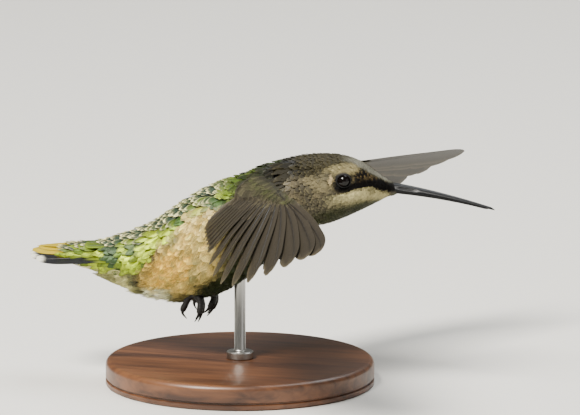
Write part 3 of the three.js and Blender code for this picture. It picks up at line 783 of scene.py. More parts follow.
def bake_corner(t, a):
    """Where a feather bakes: at its root's place on the body unrolled."""
    return np.stack([((a / TAU) % 1) * 0.98 + 0.008, 0.01 + 0.97 * (t + 1) / (LAST + 1.2)], axis=-1)


def vane_faces(rows, columns):
    """Faces of one small vane: a grid for its upper face, and a keel of one point a row under it."""
    faces = grid_faces(rows, columns, closed=False)
    keel = rows * columns
    for i in range(rows - 1):
        a, b = i * columns, (i + 1) * columns
        faces.append((a, b, keel + i + 1, keel + i))
        faces.append((keel + i, keel + i + 1, b + columns - 1, a + columns - 1))
    faces.append((keel, *reversed(range(columns))))
    faces.append((*range((rows - 1) * columns, rows * columns), keel + rows - 1))
    return faces


CONTOUR_ROWS = np.array([0.0, 0.36, 0.64, 0.83, 0.94, 1.0])
CONTOUR_COLUMNS = np.array([-1, -0.8, -0.4, 0, 0.4, 0.8, 1])
# The last row's half width, so that a feather ends round and not in a point.
CONTOUR_TIP = 0.45
CONTOUR_FACES = vane_faces(len(CONTOUR_ROWS), len(CONTOUR_COLUMNS))


def contour_feathers(name, t, a, spacing, random, ruffle=0.09, slim=1.0):
    """A mesh of contour feathers, laid with their tips backwards.

    ruffle is how unevenly their tips stand out, and slim draws them out longer and narrower. Feathers with
    hardly any fringe are soft ones: they lie flatter, and their vanes are streaked.
    """
    count = len(t)
    look = plumage(body_point(t, a), angle_of(a))
    soft = smooth(0.2, 0.1, look[2])
    length = slim * spacing * random.uniform(*CONTOUR["length"], count)
    width = spacing / slim * random.uniform(*CONTOUR["width"], count)
    roots = chart(t, a, lie_down(t, a) + random.normal(0, CONTOUR["uneven"], count))
    relative = np.clip(spacing / 0.9, 0.45, 1.15)
    sink = size_of("coat_depth") * relative + 0.06
    tip = (CONTOUR["tip"] + ruffle * random.random(count)) * relative * (1 - 0.75 * soft)
    s, w = (g.ravel() for g in np.meshgrid(CONTOUR_ROWS, CONTOUR_COLUMNS, indexing="ij"))
    ragged = random.normal(0, CONTOUR["ragged"], (count, len(s))) * (s > 0.9)
    half = np.where(s < 1, vane_outline(s), CONTOUR_TIP)
    along = length[:, None] * (s - np.where(s < 1, 0.2 * s**3, 0.115) * w * w + ragged)
    across = width[:, None] / 2 * (w * half)[None]
    rise = (sink + tip)[:, None] * s[None] ** (0.85 - 0.3 * soft)[:, None]
    cup = (0.1 * width * (1 - 0.7 * soft))[:, None] * (w * w * half)[None]
    height = rise - sink[:, None] - cup
    keel = length[:, None] * CONTOUR_ROWS[None] * 0.97
    under = height[:, ::len(CONTOUR_COLUMNS)] - CONTOUR["keel"]
    top = settle(roots, along, across, height)
    points = np.concatenate([top, settle(roots, keel, np.zeros(keel.shape), under)], axis=1)
    own = np.stack([
        np.append((w + 1) / 2, np.full(len(CONTOUR_ROWS), 0.5)), np.append(s, CONTOUR_ROWS),
    ], axis=-1)
    paint = paint_contour(look, soft, own, random)
    per = len(own)
    faces = [tuple(i + n * per for i in face) for n in range(count) for face in CONTOUR_FACES]
    bake = bake_corner(t, a)[:, None] + own[None] * BAKE_PATCH
    maps = {VANE_MAP: np.tile(own, (count, 1)), BAKE_MAP: bake.reshape(-1, 2)}
    return mesh_object(name, points.reshape(-1, 3), faces, paint.reshape(-1, 3), maps)


def paint_contour(look, soft, own, random):
    """Colours of laid feathers: dusky root, coloured middle, darker band, pale fringe, soft ones streaked."""
    middle, fringe, strength = look
    count = len(middle)
    each = 1 + 0.15 * random.standard_normal(count)
    middle = middle * each[:, None]
    across, s = np.abs(own[:, 0] * 2 - 1), own[:, 1]
    edge = np.maximum(smooth(0.8, 0.97, s), smooth(0.78, 1.0, across) * smooth(0.4, 0.7, s))
    dusk = 1 - smooth(0.1, 0.6, s) + 0.28 * smooth(0.6, 0.8, s)
    depth = np.clip(0.2 + 0.6 * strength, 0, 0.55)[:, None] * dusk
    paint = middle[:, None] * (1 - depth)[..., None]
    share = (strength * random.uniform(0.5, 1.1, count))[:, None] * edge[None]
    paint = paint + (fringe[:, None] - paint) * np.clip(share, 0, 1)[..., None]
    columns = len(CONTOUR_COLUMNS)
    hair = random.standard_normal((count, columns))[:, np.rint(own[:, 0] * (columns - 1)).astype(int)]
    return np.clip(paint * (1 + 0.26 * soft[:, None] * hair)[..., None], 0, 1)


def feather_rows(spacing_at, start, end):
    """Roots in rows round the body, each row set off by half a feather from the last."""
    places, t, row = [], start, 0
    round_ = np.linspace(-math.pi, math.pi, 181)
    step = 0.05
    while t < end:
        ring = body_point(np.full(round_.shape, t), round_)
        walked = np.concatenate([[0], np.cumsum(np.linalg.norm(np.diff(ring, axis=0), axis=1))])
        spacing = float(spacing_at(t))
        count = max(6, round(walked[-1] / (spacing * SIDE_BY_SIDE)))
        steps = (np.arange(count) + 0.5 * (row % 2)) / count * walked[-1]
        places.append(np.stack([np.full(count, t), np.interp(steps, walked, round_)], axis=-1))
        side = body_point(np.array([t, t + step]), np.array([0.9, 0.9]))
        t += spacing * step / np.linalg.norm(side[1] - side[0])
        row += 1
    return np.concatenate(places)


# A loose barb is a three-sided needle with a ring of points at these shares of its length.
BARB_STEPS = np.array([0.0, 0.55, 1.0])
BARB_FACES = closed_loft(np.zeros((len(BARB_STEPS), 3, 3)))[1]


def loose_plumes(name, t, a, kind, random):
    """A mesh of soft feathers of one kind, whose barbs lie apart."""
    count, barbs = len(t), kind["barbs"]
    length, width, tip = (random.uniform(*kind[key], count) for key in ("length", "width", "tip"))
    roots = chart(t, a, lie_down(t, a) + random.normal(0, 0.22, count))
    fan = np.linspace(-1, 1, barbs)[None, :, None]
    r = BARB_STEPS[None, None, :]
    jitter = random.normal(0, 0.09, (2, count, barbs, 1))
    start = 0.08 + 0.4 * (1 - np.abs(fan))
    share = start + (1 - 0.22 * fan**2 + jitter[0] - start) * r
    along = length[:, None, None] * share
    across = width[:, None, None] / 2 * (fan + 1.4 * jitter[1]) * r**0.7
    sink = 0.35
    curl = random.normal(0, 0.04, (count, barbs, 1)) * r**2
    height = (sink + tip)[:, None, None] * share**0.9 - sink + curl
    thick = kind["barb"] * (0.25 + 0.75 * (1 - r) ** 0.7)
    corners = np.arange(3) * (-TAU / 3)
    shape = along.shape + (3,)
    points = settle(
        roots,
        np.broadcast_to(along[..., None], shape),
        across[..., None] + thick[..., None] * np.cos(corners),
        height[..., None] + thick[..., None] * np.sin(corners),
    )
    middle, _, _ = plumage(body_point(t, a), angle_of(a))
    each = (1 + 0.2 * random.standard_normal(count))[:, None, None]
    each = each + 0.25 * random.standard_normal((count, barbs, 1))
    tone = (0.62 + 0.5 * np.clip(share, 0, 1)) * each
    paint = np.clip(middle[:, None, None] * tone[..., None], 0, 1)
    own = np.stack([np.broadcast_to(0.5 + fan / 2, share.shape), np.clip(share, 0, 1)], axis=-1)
    bake = bake_corner(t, a)[:, None, None] + own * BAKE_PATCH

    def each_corner(values):
        """One value for each of the three corners of a barb's ring."""
        spread = np.broadcast_to(values[..., None, :], values.shape[:-1] + (3, values.shape[-1]))
        return spread.reshape(-1, values.shape[-1])

    per = len(BARB_STEPS) * 3
    faces = [tuple(i + n * per for i in face) for n in range(count * barbs) for face in BARB_FACES]
    maps = {VANE_MAP: each_corner(own), BAKE_MAP: each_corner(bake)}
    return mesh_object(name, points.reshape(-1, 3), faces, each_corner(paint), maps, crease=180)


def blade(pile, spec, place, tint, cell, random, rows=40, columns=9, splits=5):
    """Adds a stiff feather to a pile: a thin closed vane and the shaft that runs through it.

    spec holds the root's u, v and n, the angle, length, width, sweep, roll and fall, the shaft's place across
    the vane, the vane's cup and thickness, and the quill's radius. place turns u, v and n into points, and
    tint gives colours for shares along the feather and out from its shaft.
    """
    s = 1 - (1 - np.linspace(0, 1, rows)) ** 1.3
    w = np.linspace(-1, 1, columns)
    shaft, roll = spec["shaft"], spec["roll"]
    half = spec["width"] / 2 * vane_outline(s)

    def line(s):
        """The middle of the vane and its direction at shares of its length."""
        bow = spec["sweep"] * s**2
        lean = spec["angle"] + np.arctan2(2 * spec["sweep"] * s, spec["length"])
        reach, c, d = spec["length"] * s, math.cos(spec["angle"]), math.sin(spec["angle"])
        return spec["u"] + reach * c - bow * d, spec["v"] + reach * d + bow * c, lean

    def at(s, across, height):
        """Points of the feather, from millimetres out from its middle and up from it."""
        u, v, lean = line(s)
        n = spec["n"] + spec["fall"] * s - across * math.sin(roll) + height
        flat = across * math.cos(roll)
        return place(u - np.sin(lean) * flat, v + np.cos(lean) * flat, n)

    # Notches where the vane has come unhooked.
    open_at = random.uniform(0.3, 0.95, splits)[:, None]
    depth = random.uniform(0.04, 0.16, splits)[:, None]
    closed = 1 - (depth * np.exp(-(((s[None] - open_at) / 0.014) ** 2))).sum(axis=0)
    across = half[:, None] * w[None] * np.where(w[None] > 0, closed[:, None], 1)
    edge = np.broadcast_to(((w - shaft) / (1 + abs(shaft)))[None], across.shape)
    droop = -spec["cup"] * half[:, None] * edge**2
    thick = spec["thick"] * (1 - 0.5 * s[:, None]) * (1 - 0.7 * edge**2)
    share = np.broadcast_to(s[:, None], across.shape)
    top, under = at(share, across, droop + thick / 2), at(share, across, droop - thick / 2)
    rings = np.concatenate([top, under[:, ::-1]], axis=1)
    points, faces = closed_loft(rings)

    def both_faces(grid):
        """The same values for the upper face and, turned round, for the lower."""
        return np.concatenate([grid, grid[:, ::-1]], axis=1).reshape(-1, grid.shape[-1])

    own = both_faces(np.stack([0.5 + edge / 2, share], axis=-1))
    pile.add(points, faces, np.clip(both_faces(tint(share, edge)), 0, 1), own, cell)

    keep = s < 0.97
    radius = spec["quill"] * (1 - 0.85 * s[keep]) + 0.015
    turn = full_turn(6)
    grid = np.broadcast_to(s[keep][:, None], (keep.sum(), len(turn)))
    bend = (half * shaft)[keep][:, None]
    rings = at(grid, bend + radius[:, None] * np.cos(turn), radius[:, None] * (0.4 + np.sin(turn)))
    points, faces = closed_loft(rings)
    own = np.stack([np.full(grid.size, 0.5), np.clip(grid.ravel(), 0, 1)], axis=-1)
    dark = mix(paint_of("shaft"), tint(grid, grid * 0).reshape(-1, 3), 0.35)
    pile.add(points, faces, dark, own, cell)


# ---------------------------------------------------------------- materials

def add(tree, kind, settings=None, links=None):
    """Adds a shader node with its settings and links."""
    node = tree.nodes.new("ShaderNode" + kind)
    for name, value in (settings or {}).items():
        if isinstance(name, str) and hasattr(node, name):
            setattr(node, name, value)
        else:
            node.inputs[name].default_value = value
    for name, source in (links or {}).items():
        tree.links.new(source, node.inputs[name])
    return node


def material(name, shader):
    """A new material with a Principled shader set to some values, and that shader and its tree."""
    made = bpy.data.materials.new(name)
    made.use_nodes = True
    tree = made.node_tree
    tree.nodes.clear()
    surface = add(tree, "BsdfPrincipled", shader)
    add(tree, "OutputMaterial", links={"Surface": surface.outputs[0]})
    return made, tree, surface


def barbs(tree, per_length, slant, depth):
    """Bump of a vane's barbs, which run out and forward from the smooth shaft on both sides.

    Real barbs are a few hundredths of a millimetre apart, too fine to show. The distances that the materials
    give are several times that, as coarse as the barbs need to be to show.
    """
    own = add(tree, "UVMap", {"uv_map": VANE_MAP})
    parts = add(tree, "SeparateXYZ", links={0: own.outputs["UV"]})
    across = add(tree, "Math", {"operation": "SUBTRACT", 1: 0.5}, {0: parts.outputs["X"]})
    side = add(tree, "Math", {"operation": "ABSOLUTE"}, {0: across.outputs[0]})
    slanted = add(
        tree, "Math", {"operation": "MULTIPLY_ADD", 1: -slant}, {0: side.outputs[0], 2: parts.outputs["Y"]}
    )
    turns = add(tree, "Math", {"operation": "MULTIPLY", 1: TAU * per_length}, {0: slanted.outputs[0]})
    sine = add(tree, "Math", {"operation": "SINE"}, {0: turns.outputs[0]})
    beside = add(tree, "MapRange", {"From Min": 0.015, "From Max": 0.06}, {"Value": side.outputs[0]})
    wave = add(tree, "Math", {"operation": "MULTIPLY"}, {0: sine.outputs[0], 1: beside.outputs[0]})
    bump = add(tree, "Bump", {"Strength": 0.6, "Distance": depth * MM}, {"Height": wave.outputs[0]})
    return wave, bump


def feather_material(
    name, roughness, gloss, length, apart, relief, contrast, slant=0.5, sheen=0.0, glint=0.0
):
    """Vanes painted by the plumage colours, with barbs that catch the light.

    length is a feather's usual length, apart the distance of its drawn barbs and relief their height, in
    millimetres. Green feathers owe their colour to layered plates in the barbs, so glint makes them reflect
    it like a metal.
    """
    made, tree, surface = material(name, {
        "Roughness": roughness, "IOR": 1.55, "Specular IOR Level": gloss,
        "Sheen Weight": sheen, "Sheen Roughness": 0.4,
    })
    paint = add(tree, "Attribute", {"attribute_name": PAINT})
    wave, bump = barbs(tree, length / apart, slant, relief)
    place = add(tree, "TexCoord")
    wear = add(tree, "TexNoise", {"Scale": 1 / (1.2 * MM), "Detail": 3}, {"Vector": place.outputs["Object"]})
    streaks = add(tree, "Math", {"operation": "MULTIPLY_ADD", 1: contrast, 2: 1.0}, {0: wave.outputs[0]})
    value = add(tree, "Math", {"operation": "MULTIPLY_ADD", 1: 0.36, 2: 0.82}, {0: wear.outputs["Fac"]})
    total = add(tree, "Math", {"operation": "MULTIPLY"}, {0: streaks.outputs[0], 1: value.outputs[0]})
    shaded = add(
        tree, "VectorMath", {"operation": "SCALE"}, {0: paint.outputs["Color"], "Scale": total.outputs[0]}
    )
    tree.links.new(shaded.outputs[0], surface.inputs["Base Color"])
    tree.links.new(bump.outputs[0], surface.inputs["Normal"])
    if glint:
        parts = add(tree, "SeparateColor", links={0: paint.outputs["Color"]})
        greener = add(tree, "Math", {"operation": "SUBTRACT"}, {0: parts.outputs[1], 1: parts.outputs[0]})
        metal = add(
            tree, "MapRange", {"From Min": 0.01, "From Max": 0.05, "To Max": glint},
            {"Value": greener.outputs[0]},
        )
        tree.links.new(metal.outputs[0], surface.inputs["Metallic"])
    return made


def contour_material():
    """Contour feathers are keratin barbs over air and melanin: a low silky gloss over the colour."""
    return feather_material(
        "contour_feather_keratin", roughness=0.4, gloss=0.25, length=3.12, apart=0.12, relief=0.006,
        contrast=0.05, glint=0.5,
    )


def head_material():
    """The head's small feathers lie tight and scale-like, with a little more gloss."""
    return feather_material(
        "head_feather_keratin", roughness=0.55, gloss=0.12, length=0.96, apart=0.08, relief=0.004,
        contrast=0.05,
    )


def soft_material():
    """Loose barbs without hooks: matt, downy and slightly lit through."""
    return feather_material(
        "soft_plume_keratin", roughness=0.75, gloss=0.15, length=2.4, apart=0.8, relief=0.01,
        contrast=0.03, sheen=0.05,
    )


def flight_material():
    """Hooked vanes as stiff as parchment: smooth, with a low sheen that runs along the barbs."""
    return feather_material(
        "flight_feather_keratin", roughness=0.45, gloss=0.22, length=33.8, apart=0.26, relief=0.008,
        contrast=0.06, slant=0.35,
    )


def tail_material():
    """Tail vanes, glossy green in the middle pair and satin black towards the sides."""
    return feather_material(
        "tail_feather_keratin", roughness=0.4, gloss=0.25, length=23.1, apart=0.21, relief=0.008,
        contrast=0.06, slant=0.35, glint=0.4,
    )


def skin_material():
    """Thin bird skin under the coat, seen only as shade between the feathers."""
    made, tree, surface = material("bird_skin", {"Roughness": 0.8, "IOR": 1.4})
    paint = add(tree, "Attribute", {"attribute_name": PAINT})
    place = add(tree, "TexCoord")
    pores = add(tree, "TexVoronoi", {"Scale": 1 / (0.6 * MM)}, {"Vector": place.outputs["Object"]})
    bump = add(tree, "Bump", {"Strength": 0.5, "Distance": 0.05 * MM}, {"Height": pores.outputs["Distance"]})
    tree.links.new(paint.outputs["Color"], surface.inputs["Base Color"])
    tree.links.new(bump.outputs[0], surface.inputs["Normal"])
    return made


def horn_material(name, tint, roughness):
    """Keratin horn: near black, worn to a soft gloss, with fine growth lines along it."""
    made, tree, surface = material(name, {"Roughness": roughness, "IOR": 1.5, "Specular IOR Level": 0.22})
    place = add(tree, "TexCoord")
    stretch = add(tree, "Mapping", {"Scale": (0.12, 1, 1)}, {"Vector": place.outputs["Object"]})
    lines = add(tree, "TexNoise", {"Scale": 1 / (0.25 * MM), "Detail": 4.0}, {"Vector": stretch.outputs[0]})
    wear = add(tree, "ValToRGB", None, {0: lines.outputs["Fac"]})
    wear.color_ramp.elements[0].position = 0.35
    wear.color_ramp.elements[0].color = (*tint, 1)
    wear.color_ramp.elements[1].position = 0.75
    wear.color_ramp.elements[1].color = (*np.clip(tint * 2.0 + 0.002, 0, 1), 1)
    bump = add(tree, "Bump", {"Strength": 0.25, "Distance": 0.03 * MM}, {"Height": lines.outputs["Fac"]})
    tree.links.new(wear.outputs[0], surface.inputs["Base Color"])
    tree.links.new(bump.outputs[0], surface.inputs["Normal"])
    return made


def scute_material():
    """Toe skin in small horny plates, matt between them and lightly polished on top."""
    made, tree, surface = material("scaled_toe_skin", {
        "Roughness": 0.45, "IOR": 1.5, "Specular IOR Level": 0.3,
    })
    place = add(tree, "TexCoord")
    plates = add(tree, "TexVoronoi", {"Scale": 1 / (0.3 * MM)}, {"Vector": place.outputs["Object"]})
    shade = add(tree, "ValToRGB", None, {0: plates.outputs["Distance"]})
    shade.color_ramp.elements[0].color = (*np.clip(paint_of("foot") * 1.9, 0, 1), 1)
    shade.color_ramp.elements[1].position = 0.8
    shade.color_ramp.elements[1].color = (*(paint_of("foot") * 0.35), 1)
    bump = add(
        tree, "Bump", {"Strength": 0.6, "Distance": 0.05 * MM, "invert": True},
        {"Height": plates.outputs["Distance"]},
    )
    tree.links.new(shade.outputs[0], surface.inputs["Base Color"])
    tree.links.new(bump.outputs[0], surface.inputs["Normal"])
    return made


def eye_material():
    """A wet cornea over a near-black brown iris: very smooth, with one sharp catch of the light."""
    made, tree, surface = material("wet_eye", {
        "Roughness": 0.05, "IOR": 1.38, "Specular IOR Level": 0.4,
    })
    place = add(tree, "TexCoord")
    flecks = add(
        tree, "TexNoise", {"Scale": 1 / (0.3 * MM), "Detail": 2}, {"Vector": place.outputs["Object"]}
    )
    iris = add(tree, "ValToRGB", None, {0: flecks.outputs["Fac"]})
    iris.color_ramp.elements[0].color = (*(paint_of("eye") * 0.4), 1)
    iris.color_ramp.elements[1].color = (*(paint_of("eye") * 1.6), 1)
    tree.links.new(iris.outputs[0], surface.inputs["Base Color"])
    return made


def walnut_material():
    """Oiled and turned black walnut: brown figure in long streaks, open pores and a satin surface."""
    made, tree, surface = material("oiled_walnut", {
        "Roughness": 0.42, "IOR": 1.5, "Coat Weight": 0.2, "Coat Roughness": 0.3,
    })
    place = add(tree, "TexCoord")
    along = add(
        tree, "Mapping", {"Scale": (0.1, 1, 1), "Rotation": (0, 0, 0.35)}, {"Vector": place.outputs["Object"]}
    )
    drift = add(tree, "TexNoise", {"Scale": 1 / (6 * MM), "Detail": 4.0}, {"Vector": along.outputs[0]})
    figure = add(
        tree, "TexNoise", {"Scale": 1 / (1.5 * MM), "Detail": 6.0, "Distortion": 0.6},
        {"Vector": along.outputs[0]},
    )
    both = add(tree, "Math", {"operation": "ADD"}, {0: drift.outputs["Fac"], 1: figure.outputs["Fac"]})
    half = add(tree, "Math", {"operation": "MULTIPLY", 1: 0.5}, {0: both.outputs[0]})
    grain = add(tree, "ValToRGB", None, {0: half.outputs[0]})
    grain.color_ramp.elements[0].position = 0.36
    grain.color_ramp.elements[0].color = (*paint_of("walnut_dark"), 1)
    grain.color_ramp.elements[1].position = 0.62
    grain.color_ramp.elements[1].color = (*paint_of("walnut"), 1)
    pores = add(tree, "TexNoise", {"Scale": 1 / (0.35 * MM), "Detail": 2.0}, {"Vector": along.outputs[0]})
    bump = add(tree, "Bump", {"Strength": 0.2, "Distance": 0.08 * MM}, {"Height": pores.outputs["Fac"]})
    tree.links.new(grain.outputs[0], surface.inputs["Base Color"])
    tree.links.new(bump.outputs[0], surface.inputs["Normal"])
    return made


def steel_material():
    """Drawn stainless rod: fine lines along it from the die, bright but not mirror-smooth."""
    made, tree, surface = material("drawn_stainless_steel", {"Metallic": 1.0, "Anisotropic": 0.5})
    place = add(tree, "TexCoord")
    along = add(tree, "Mapping", {"Scale": (1, 1, 0.03)}, {"Vector": place.outputs["Object"]})
    lines = add(tree, "TexNoise", {"Scale": 1 / (0.12 * MM), "Detail": 3.0}, {"Vector": along.outputs[0]})
    rough = add(tree, "MapRange", {"To Min": 0.22, "To Max": 0.4}, {"Value": lines.outputs["Fac"]})
    tint = add(tree, "ValToRGB", None, {0: lines.outputs["Fac"]})
    tint.color_ramp.elements[0].color = (*(paint_of("steel") * 0.75), 1)
    tint.color_ramp.elements[1].color = (*paint_of("steel"), 1)
    bump = add(tree, "Bump", {"Strength": 0.15, "Distance": 0.01 * MM}, {"Height": lines.outputs["Fac"]})
    tree.links.new(rough.outputs[0], surface.inputs["Roughness"])
    tree.links.new(tint.outputs[0], surface.inputs["Base Color"])
    tree.links.new(bump.outputs[0], surface.inputs["Normal"])
    return made


def paper_material():
    """Matt uncoated paper: no gloss, and a faint unevenness from its pulp."""
    made, tree, surface = material("matt_paper_floor", {"Roughness": 0.9})
    place = add(tree, "TexCoord")
    pulp = add(tree, "TexNoise", {"Scale": 1 / (2 * MM), "Detail": 2.0}, {"Vector": place.outputs["Object"]})
    tone = add(tree, "ValToRGB", None, {0: pulp.outputs["Fac"]})
    tone.color_ramp.elements[0].color = (*(paint_of("paper") * 0.97), 1)
    tone.color_ramp.elements[1].color = (*paint_of("paper"), 1)
    tree.links.new(tone.outputs[0], surface.inputs["Base Color"])
    return made


# ---------------------------------------------------------------- stage

def view_axes():
    """The camera's right, up and backward directions."""
    a, e = CAMERA["azimuth"], CAMERA["elevation"]
    right = Vector((math.cos(a), math.sin(a), 0))
    back = Vector((math.sin(a) * math.cos(e), -math.cos(a) * math.cos(e), math.sin(e)))
    return right, back.cross(right), back


def area_light(name, place, size, power, tint):
    """A soft square light that faces the bird and isn't seen itself."""
    lamp = bpy.data.lights.new(name, "AREA")
    lamp.size = size
    lamp.energy = power
    lamp.color = tint
    holder = bpy.data.objects.new(name, lamp)
    holder.location = place
    holder.rotation_mode = "QUATERNION"
    holder.rotation_quaternion = (Vector(LIT_PLACE) - Vector(place)).to_track_quat("-Z", "Y")
    holder.visible_camera = False
    bpy.context.scene.collection.objects.link(holder)


class HUMMINGBIRD_OT_stage(bpy.types.Operator):
    """Sets up the pale floor, the soft studio light and the camera"""

    bl_idname = "hummingbird.stage"
    bl_label = "Stage"

    def execute(self, context):
        scene = context.scene
        corners = [(x * FLOOR_REACH, y * FLOOR_REACH, 0) for x, y in ((-1, -1), (1, -1), (1, 1), (-1, 1))]
        floor = mesh_object("studio_floor", corners, [(0, 1, 2, 3)], flat=True)
        floor.data.materials.append(paper_material())
        for name, light in LIGHTS.items():
            area_light(name, *light)

        world = bpy.data.worlds.new("studio_air")
        world.use_nodes = True
        sky = world.node_tree.nodes["Background"]
        sky.inputs["Color"].default_value = AIR["colour"]
        sky.inputs["Strength"].default_value = AIR["strength"]
        scene.world = world

        right, up, back = view_axes()
        lens = bpy.data.cameras.new("studio_camera")
        lens.sensor_width = CAMERA["sensor"]
        lens.lens = CAMERA["sensor"] * CAMERA["distance"] / CAMERA["width"]
        lens.clip_start = 0.05
        lens.clip_end = 50
        camera = bpy.data.objects.new("studio_camera", lens)
        target = Vector((0, 0, STAND["height"])) + right * CAMERA["right"] + up * CAMERA["up"]
        camera.location = (target + back * CAMERA["distance"]) * MM
        camera.rotation_mode = "QUATERNION"
        camera.rotation_quaternion = (-back).to_track_quat("-Z", "Y")
        scene.collection.objects.link(camera)
        scene.camera = camera
        return {"FINISHED"}


# ---------------------------------------------------------------- skin and coat

def eye_axes(side):
    """An eye's centre and its forward, upward and outward directions."""
    centre = np.array([EYE["x"], side * EYE["y"], EYE["z"]])
    out = np.array([EYE_FACING.x, side * EYE_FACING.y, EYE_FACING.z])
    forward = unit(np.array([1.0, 0.0, 0.0]) - out * out[0])
    return centre, forward, np.cross(forward, out) * side, out


def from_eye(points, side):
    """Distance from an eye's middle as an almond seen from its front, and height out from its middle."""
    centre, forward, up, out = eye_axes(side)
    off = points - centre
    return np.hypot((off @ forward) / EYE["almond"], off @ up), off @ out


def eye_distance(points):
    """Distance from the nearer eye's middle, seen from its front."""
    nearest = np.full(points.shape[:-1], np.inf)
    for side in (LEFT, RIGHT):
        away, height = from_eye(points, side)
        nearest = np.where(height > -0.5, np.minimum(nearest, away), nearest)
    return nearest


def socket_and_lids(points):
    """Skin points moved to make the eyes' sockets and the raised rims of the lids."""
    radius, opening, lid = EYE["radius"], EYE["opening"], EYE["lid"]
    for side in (LEFT, RIGHT):
        away, height = from_eye(points, side)
        ball = np.sqrt(np.maximum(0.04, radius**2 - np.minimum(away, radius) ** 2))
        rim = ball + lid * np.exp(-(((away - opening - 0.16) / 0.17) ** 2))
        rim = np.where(away < opening, ball - 0.35, rim)
        share = smooth(opening + 1.1, opening + 0.3, away) * (height > -0.5)
        *_, out = eye_axes(side)
        points = points + out * (share * (rim - height))[..., None]
    return points


class HUMMINGBIRD_OT_skin(bpy.types.Operator):
    """Makes the one skin under head, neck, body and rump, with the lids round the eyes"""

    bl_idname = "hummingbird.skin"
    bl_label = "Skin"

    def execute(self, context):
        sides = 150
        t = np.concatenate([np.linspace(0, 8, 80, endpoint=False), np.linspace(8, LAST, 130)])
        t = t[:, None] * np.ones(sides)
        a = np.linspace(-math.pi, math.pi, sides, endpoint=False) * np.ones((len(t), 1))
        at, out, _, _ = body_frame(t, a)
        depth = size_of("coat_depth") * np.interp(t, (0, 7, 11, LAST), (1, 1, 0.6, 0.4))
        points = socket_and_lids(at - out * depth[..., None])
        middle, _, _ = plumage(at, angle_of(a))
        bare = smooth(0.9, 0.4, eye_distance(at) - EYE["opening"])
        # Painted shade: the skin carries the plumage's colours at half their brightness, to show as shade
        # between the feathers.
        paint = blend_to(middle * 0.5, paint_of("lid"), bare)
        points, faces = closed_loft(points)
        maps = {BAKE_MAP: bake_corner(t, a).reshape(-1, 2)}
        piece = mesh_object("skin", points, faces, paint.reshape(-1, 3), maps)
        finish_piece(piece, skin_material(), "body_feathers", ("head", "neck", "torso"))
        return {"FINISHED"}


def spacing_along(t):
    """Feather spacing from tail root to bill base, in millimetres."""
    back, crown, face = (size_of(k) for k in ("back_spacing", "crown_spacing", "face_spacing"))
    steps = (back * 1.15, back * 0.95, back, back * 0.8, crown * 1.4, crown, crown * 0.85, face)
    return np.interp(t, (-1, 0, 5, 6.6, 7.8, 9, 11, LAST), steps)


def rod_clear(points):
    """Whether points of the plumage leave room for the stand's rod."""
    return (np.hypot(points[..., 0], points[..., 1]) > STAND["rod"] + 0.25) | (points[..., 2] > 26)


def eyelid_roots(side):
    """Roots of the tiny feathers that ring an eye, as places on the body."""
    centre, forward, up, _ = eye_axes(side)
    places = []
    for ring, (away, count) in enumerate(EYELID_RINGS):
        turn = ((np.arange(count) + 0.5 * ring) / count * TAU)[:, None]
        reach = EYE["opening"] + away
        x, y, z = (centre + reach * (EYE["almond"] * np.cos(turn) * forward + np.sin(turn) * up)).T
        t = np.interp(x, STATIONS[:, 0], np.arange(LAST + 1.0))
        _, top, bottom, half = station(t)
        places.append(np.stack([t, np.arctan2(y / half, (2 * z - top - bottom) / (top - bottom))], axis=-1))
    return np.concatenate(places)


def body_roots():
    """Every contour feather's root on the body, clear of eyes and rod."""
    rows = feather_rows(spacing_along, -0.75, LAST - 0.05)
    roots = np.concatenate([rows, eyelid_roots(LEFT), eyelid_roots(RIGHT)])
    at = body_point(roots[:, 0], roots[:, 1])
    return roots[rod_clear(at) & (eye_distance(at) > EYE["opening"] + 0.3)]


class HUMMINGBIRD_OT_coat(bpy.types.Operator):
    """Lays the contour feathers over the whole body, in one piece for each stretch of it"""

    bl_idname = "hummingbird.coat"
    bl_label = "Contour feathers"

    def execute(self, context):
        roots = body_roots()
        finishes = {"body_feathers": contour_material(), "head_feathers": head_material()}
        for which, (name, low, high, slot, slim) in enumerate(COAT):
            random = dice(which)
            here = roots[(roots[:, 0] >= low) & (roots[:, 0] < high)]
            spacing = spacing_along(here[:, 0])
            t = here[:, 0] + random.normal(0, 0.045, len(here)) * spacing
            a = here[:, 1] + random.normal(0, 0.03, len(here)) * spacing
            at = body_point(t, a)
            off = eye_distance(at) - EYE["opening"]
            near, ahead = off < NEAR_EYES["within"], at[:, 0] > EYE["x"] - NEAR_EYES["before"]
            spacing = np.where(near, np.minimum(spacing, NEAR_EYES["most"]), spacing)
            spacing = np.where(ahead, np.minimum(spacing, NEAR_EYES["share"] * off), spacing)
            piece = contour_feathers(name, t, a, spacing, random, slim=slim)
            finish_piece(piece, finishes[slot], slot)
        count = SCAPULARS["count"]
        for side in (LEFT, RIGHT):
            random = dice(10 + side)
            t = random.uniform(*SCAPULARS["t"], count)
            a = side * np.radians(random.uniform(*SCAPULARS["degrees"], count))
            piece = contour_feathers(
                "scapulars_" + SIDE_NAMES[side], t, a, np.full(count, SCAPULARS["spacing"]), random,
                ruffle=SCAPULARS["ruffle"], slim=SCAPULARS["slim"],
            )
            finish_piece(piece, finishes["head_feathers"], "body_feathers")
        return {"FINISHED"}


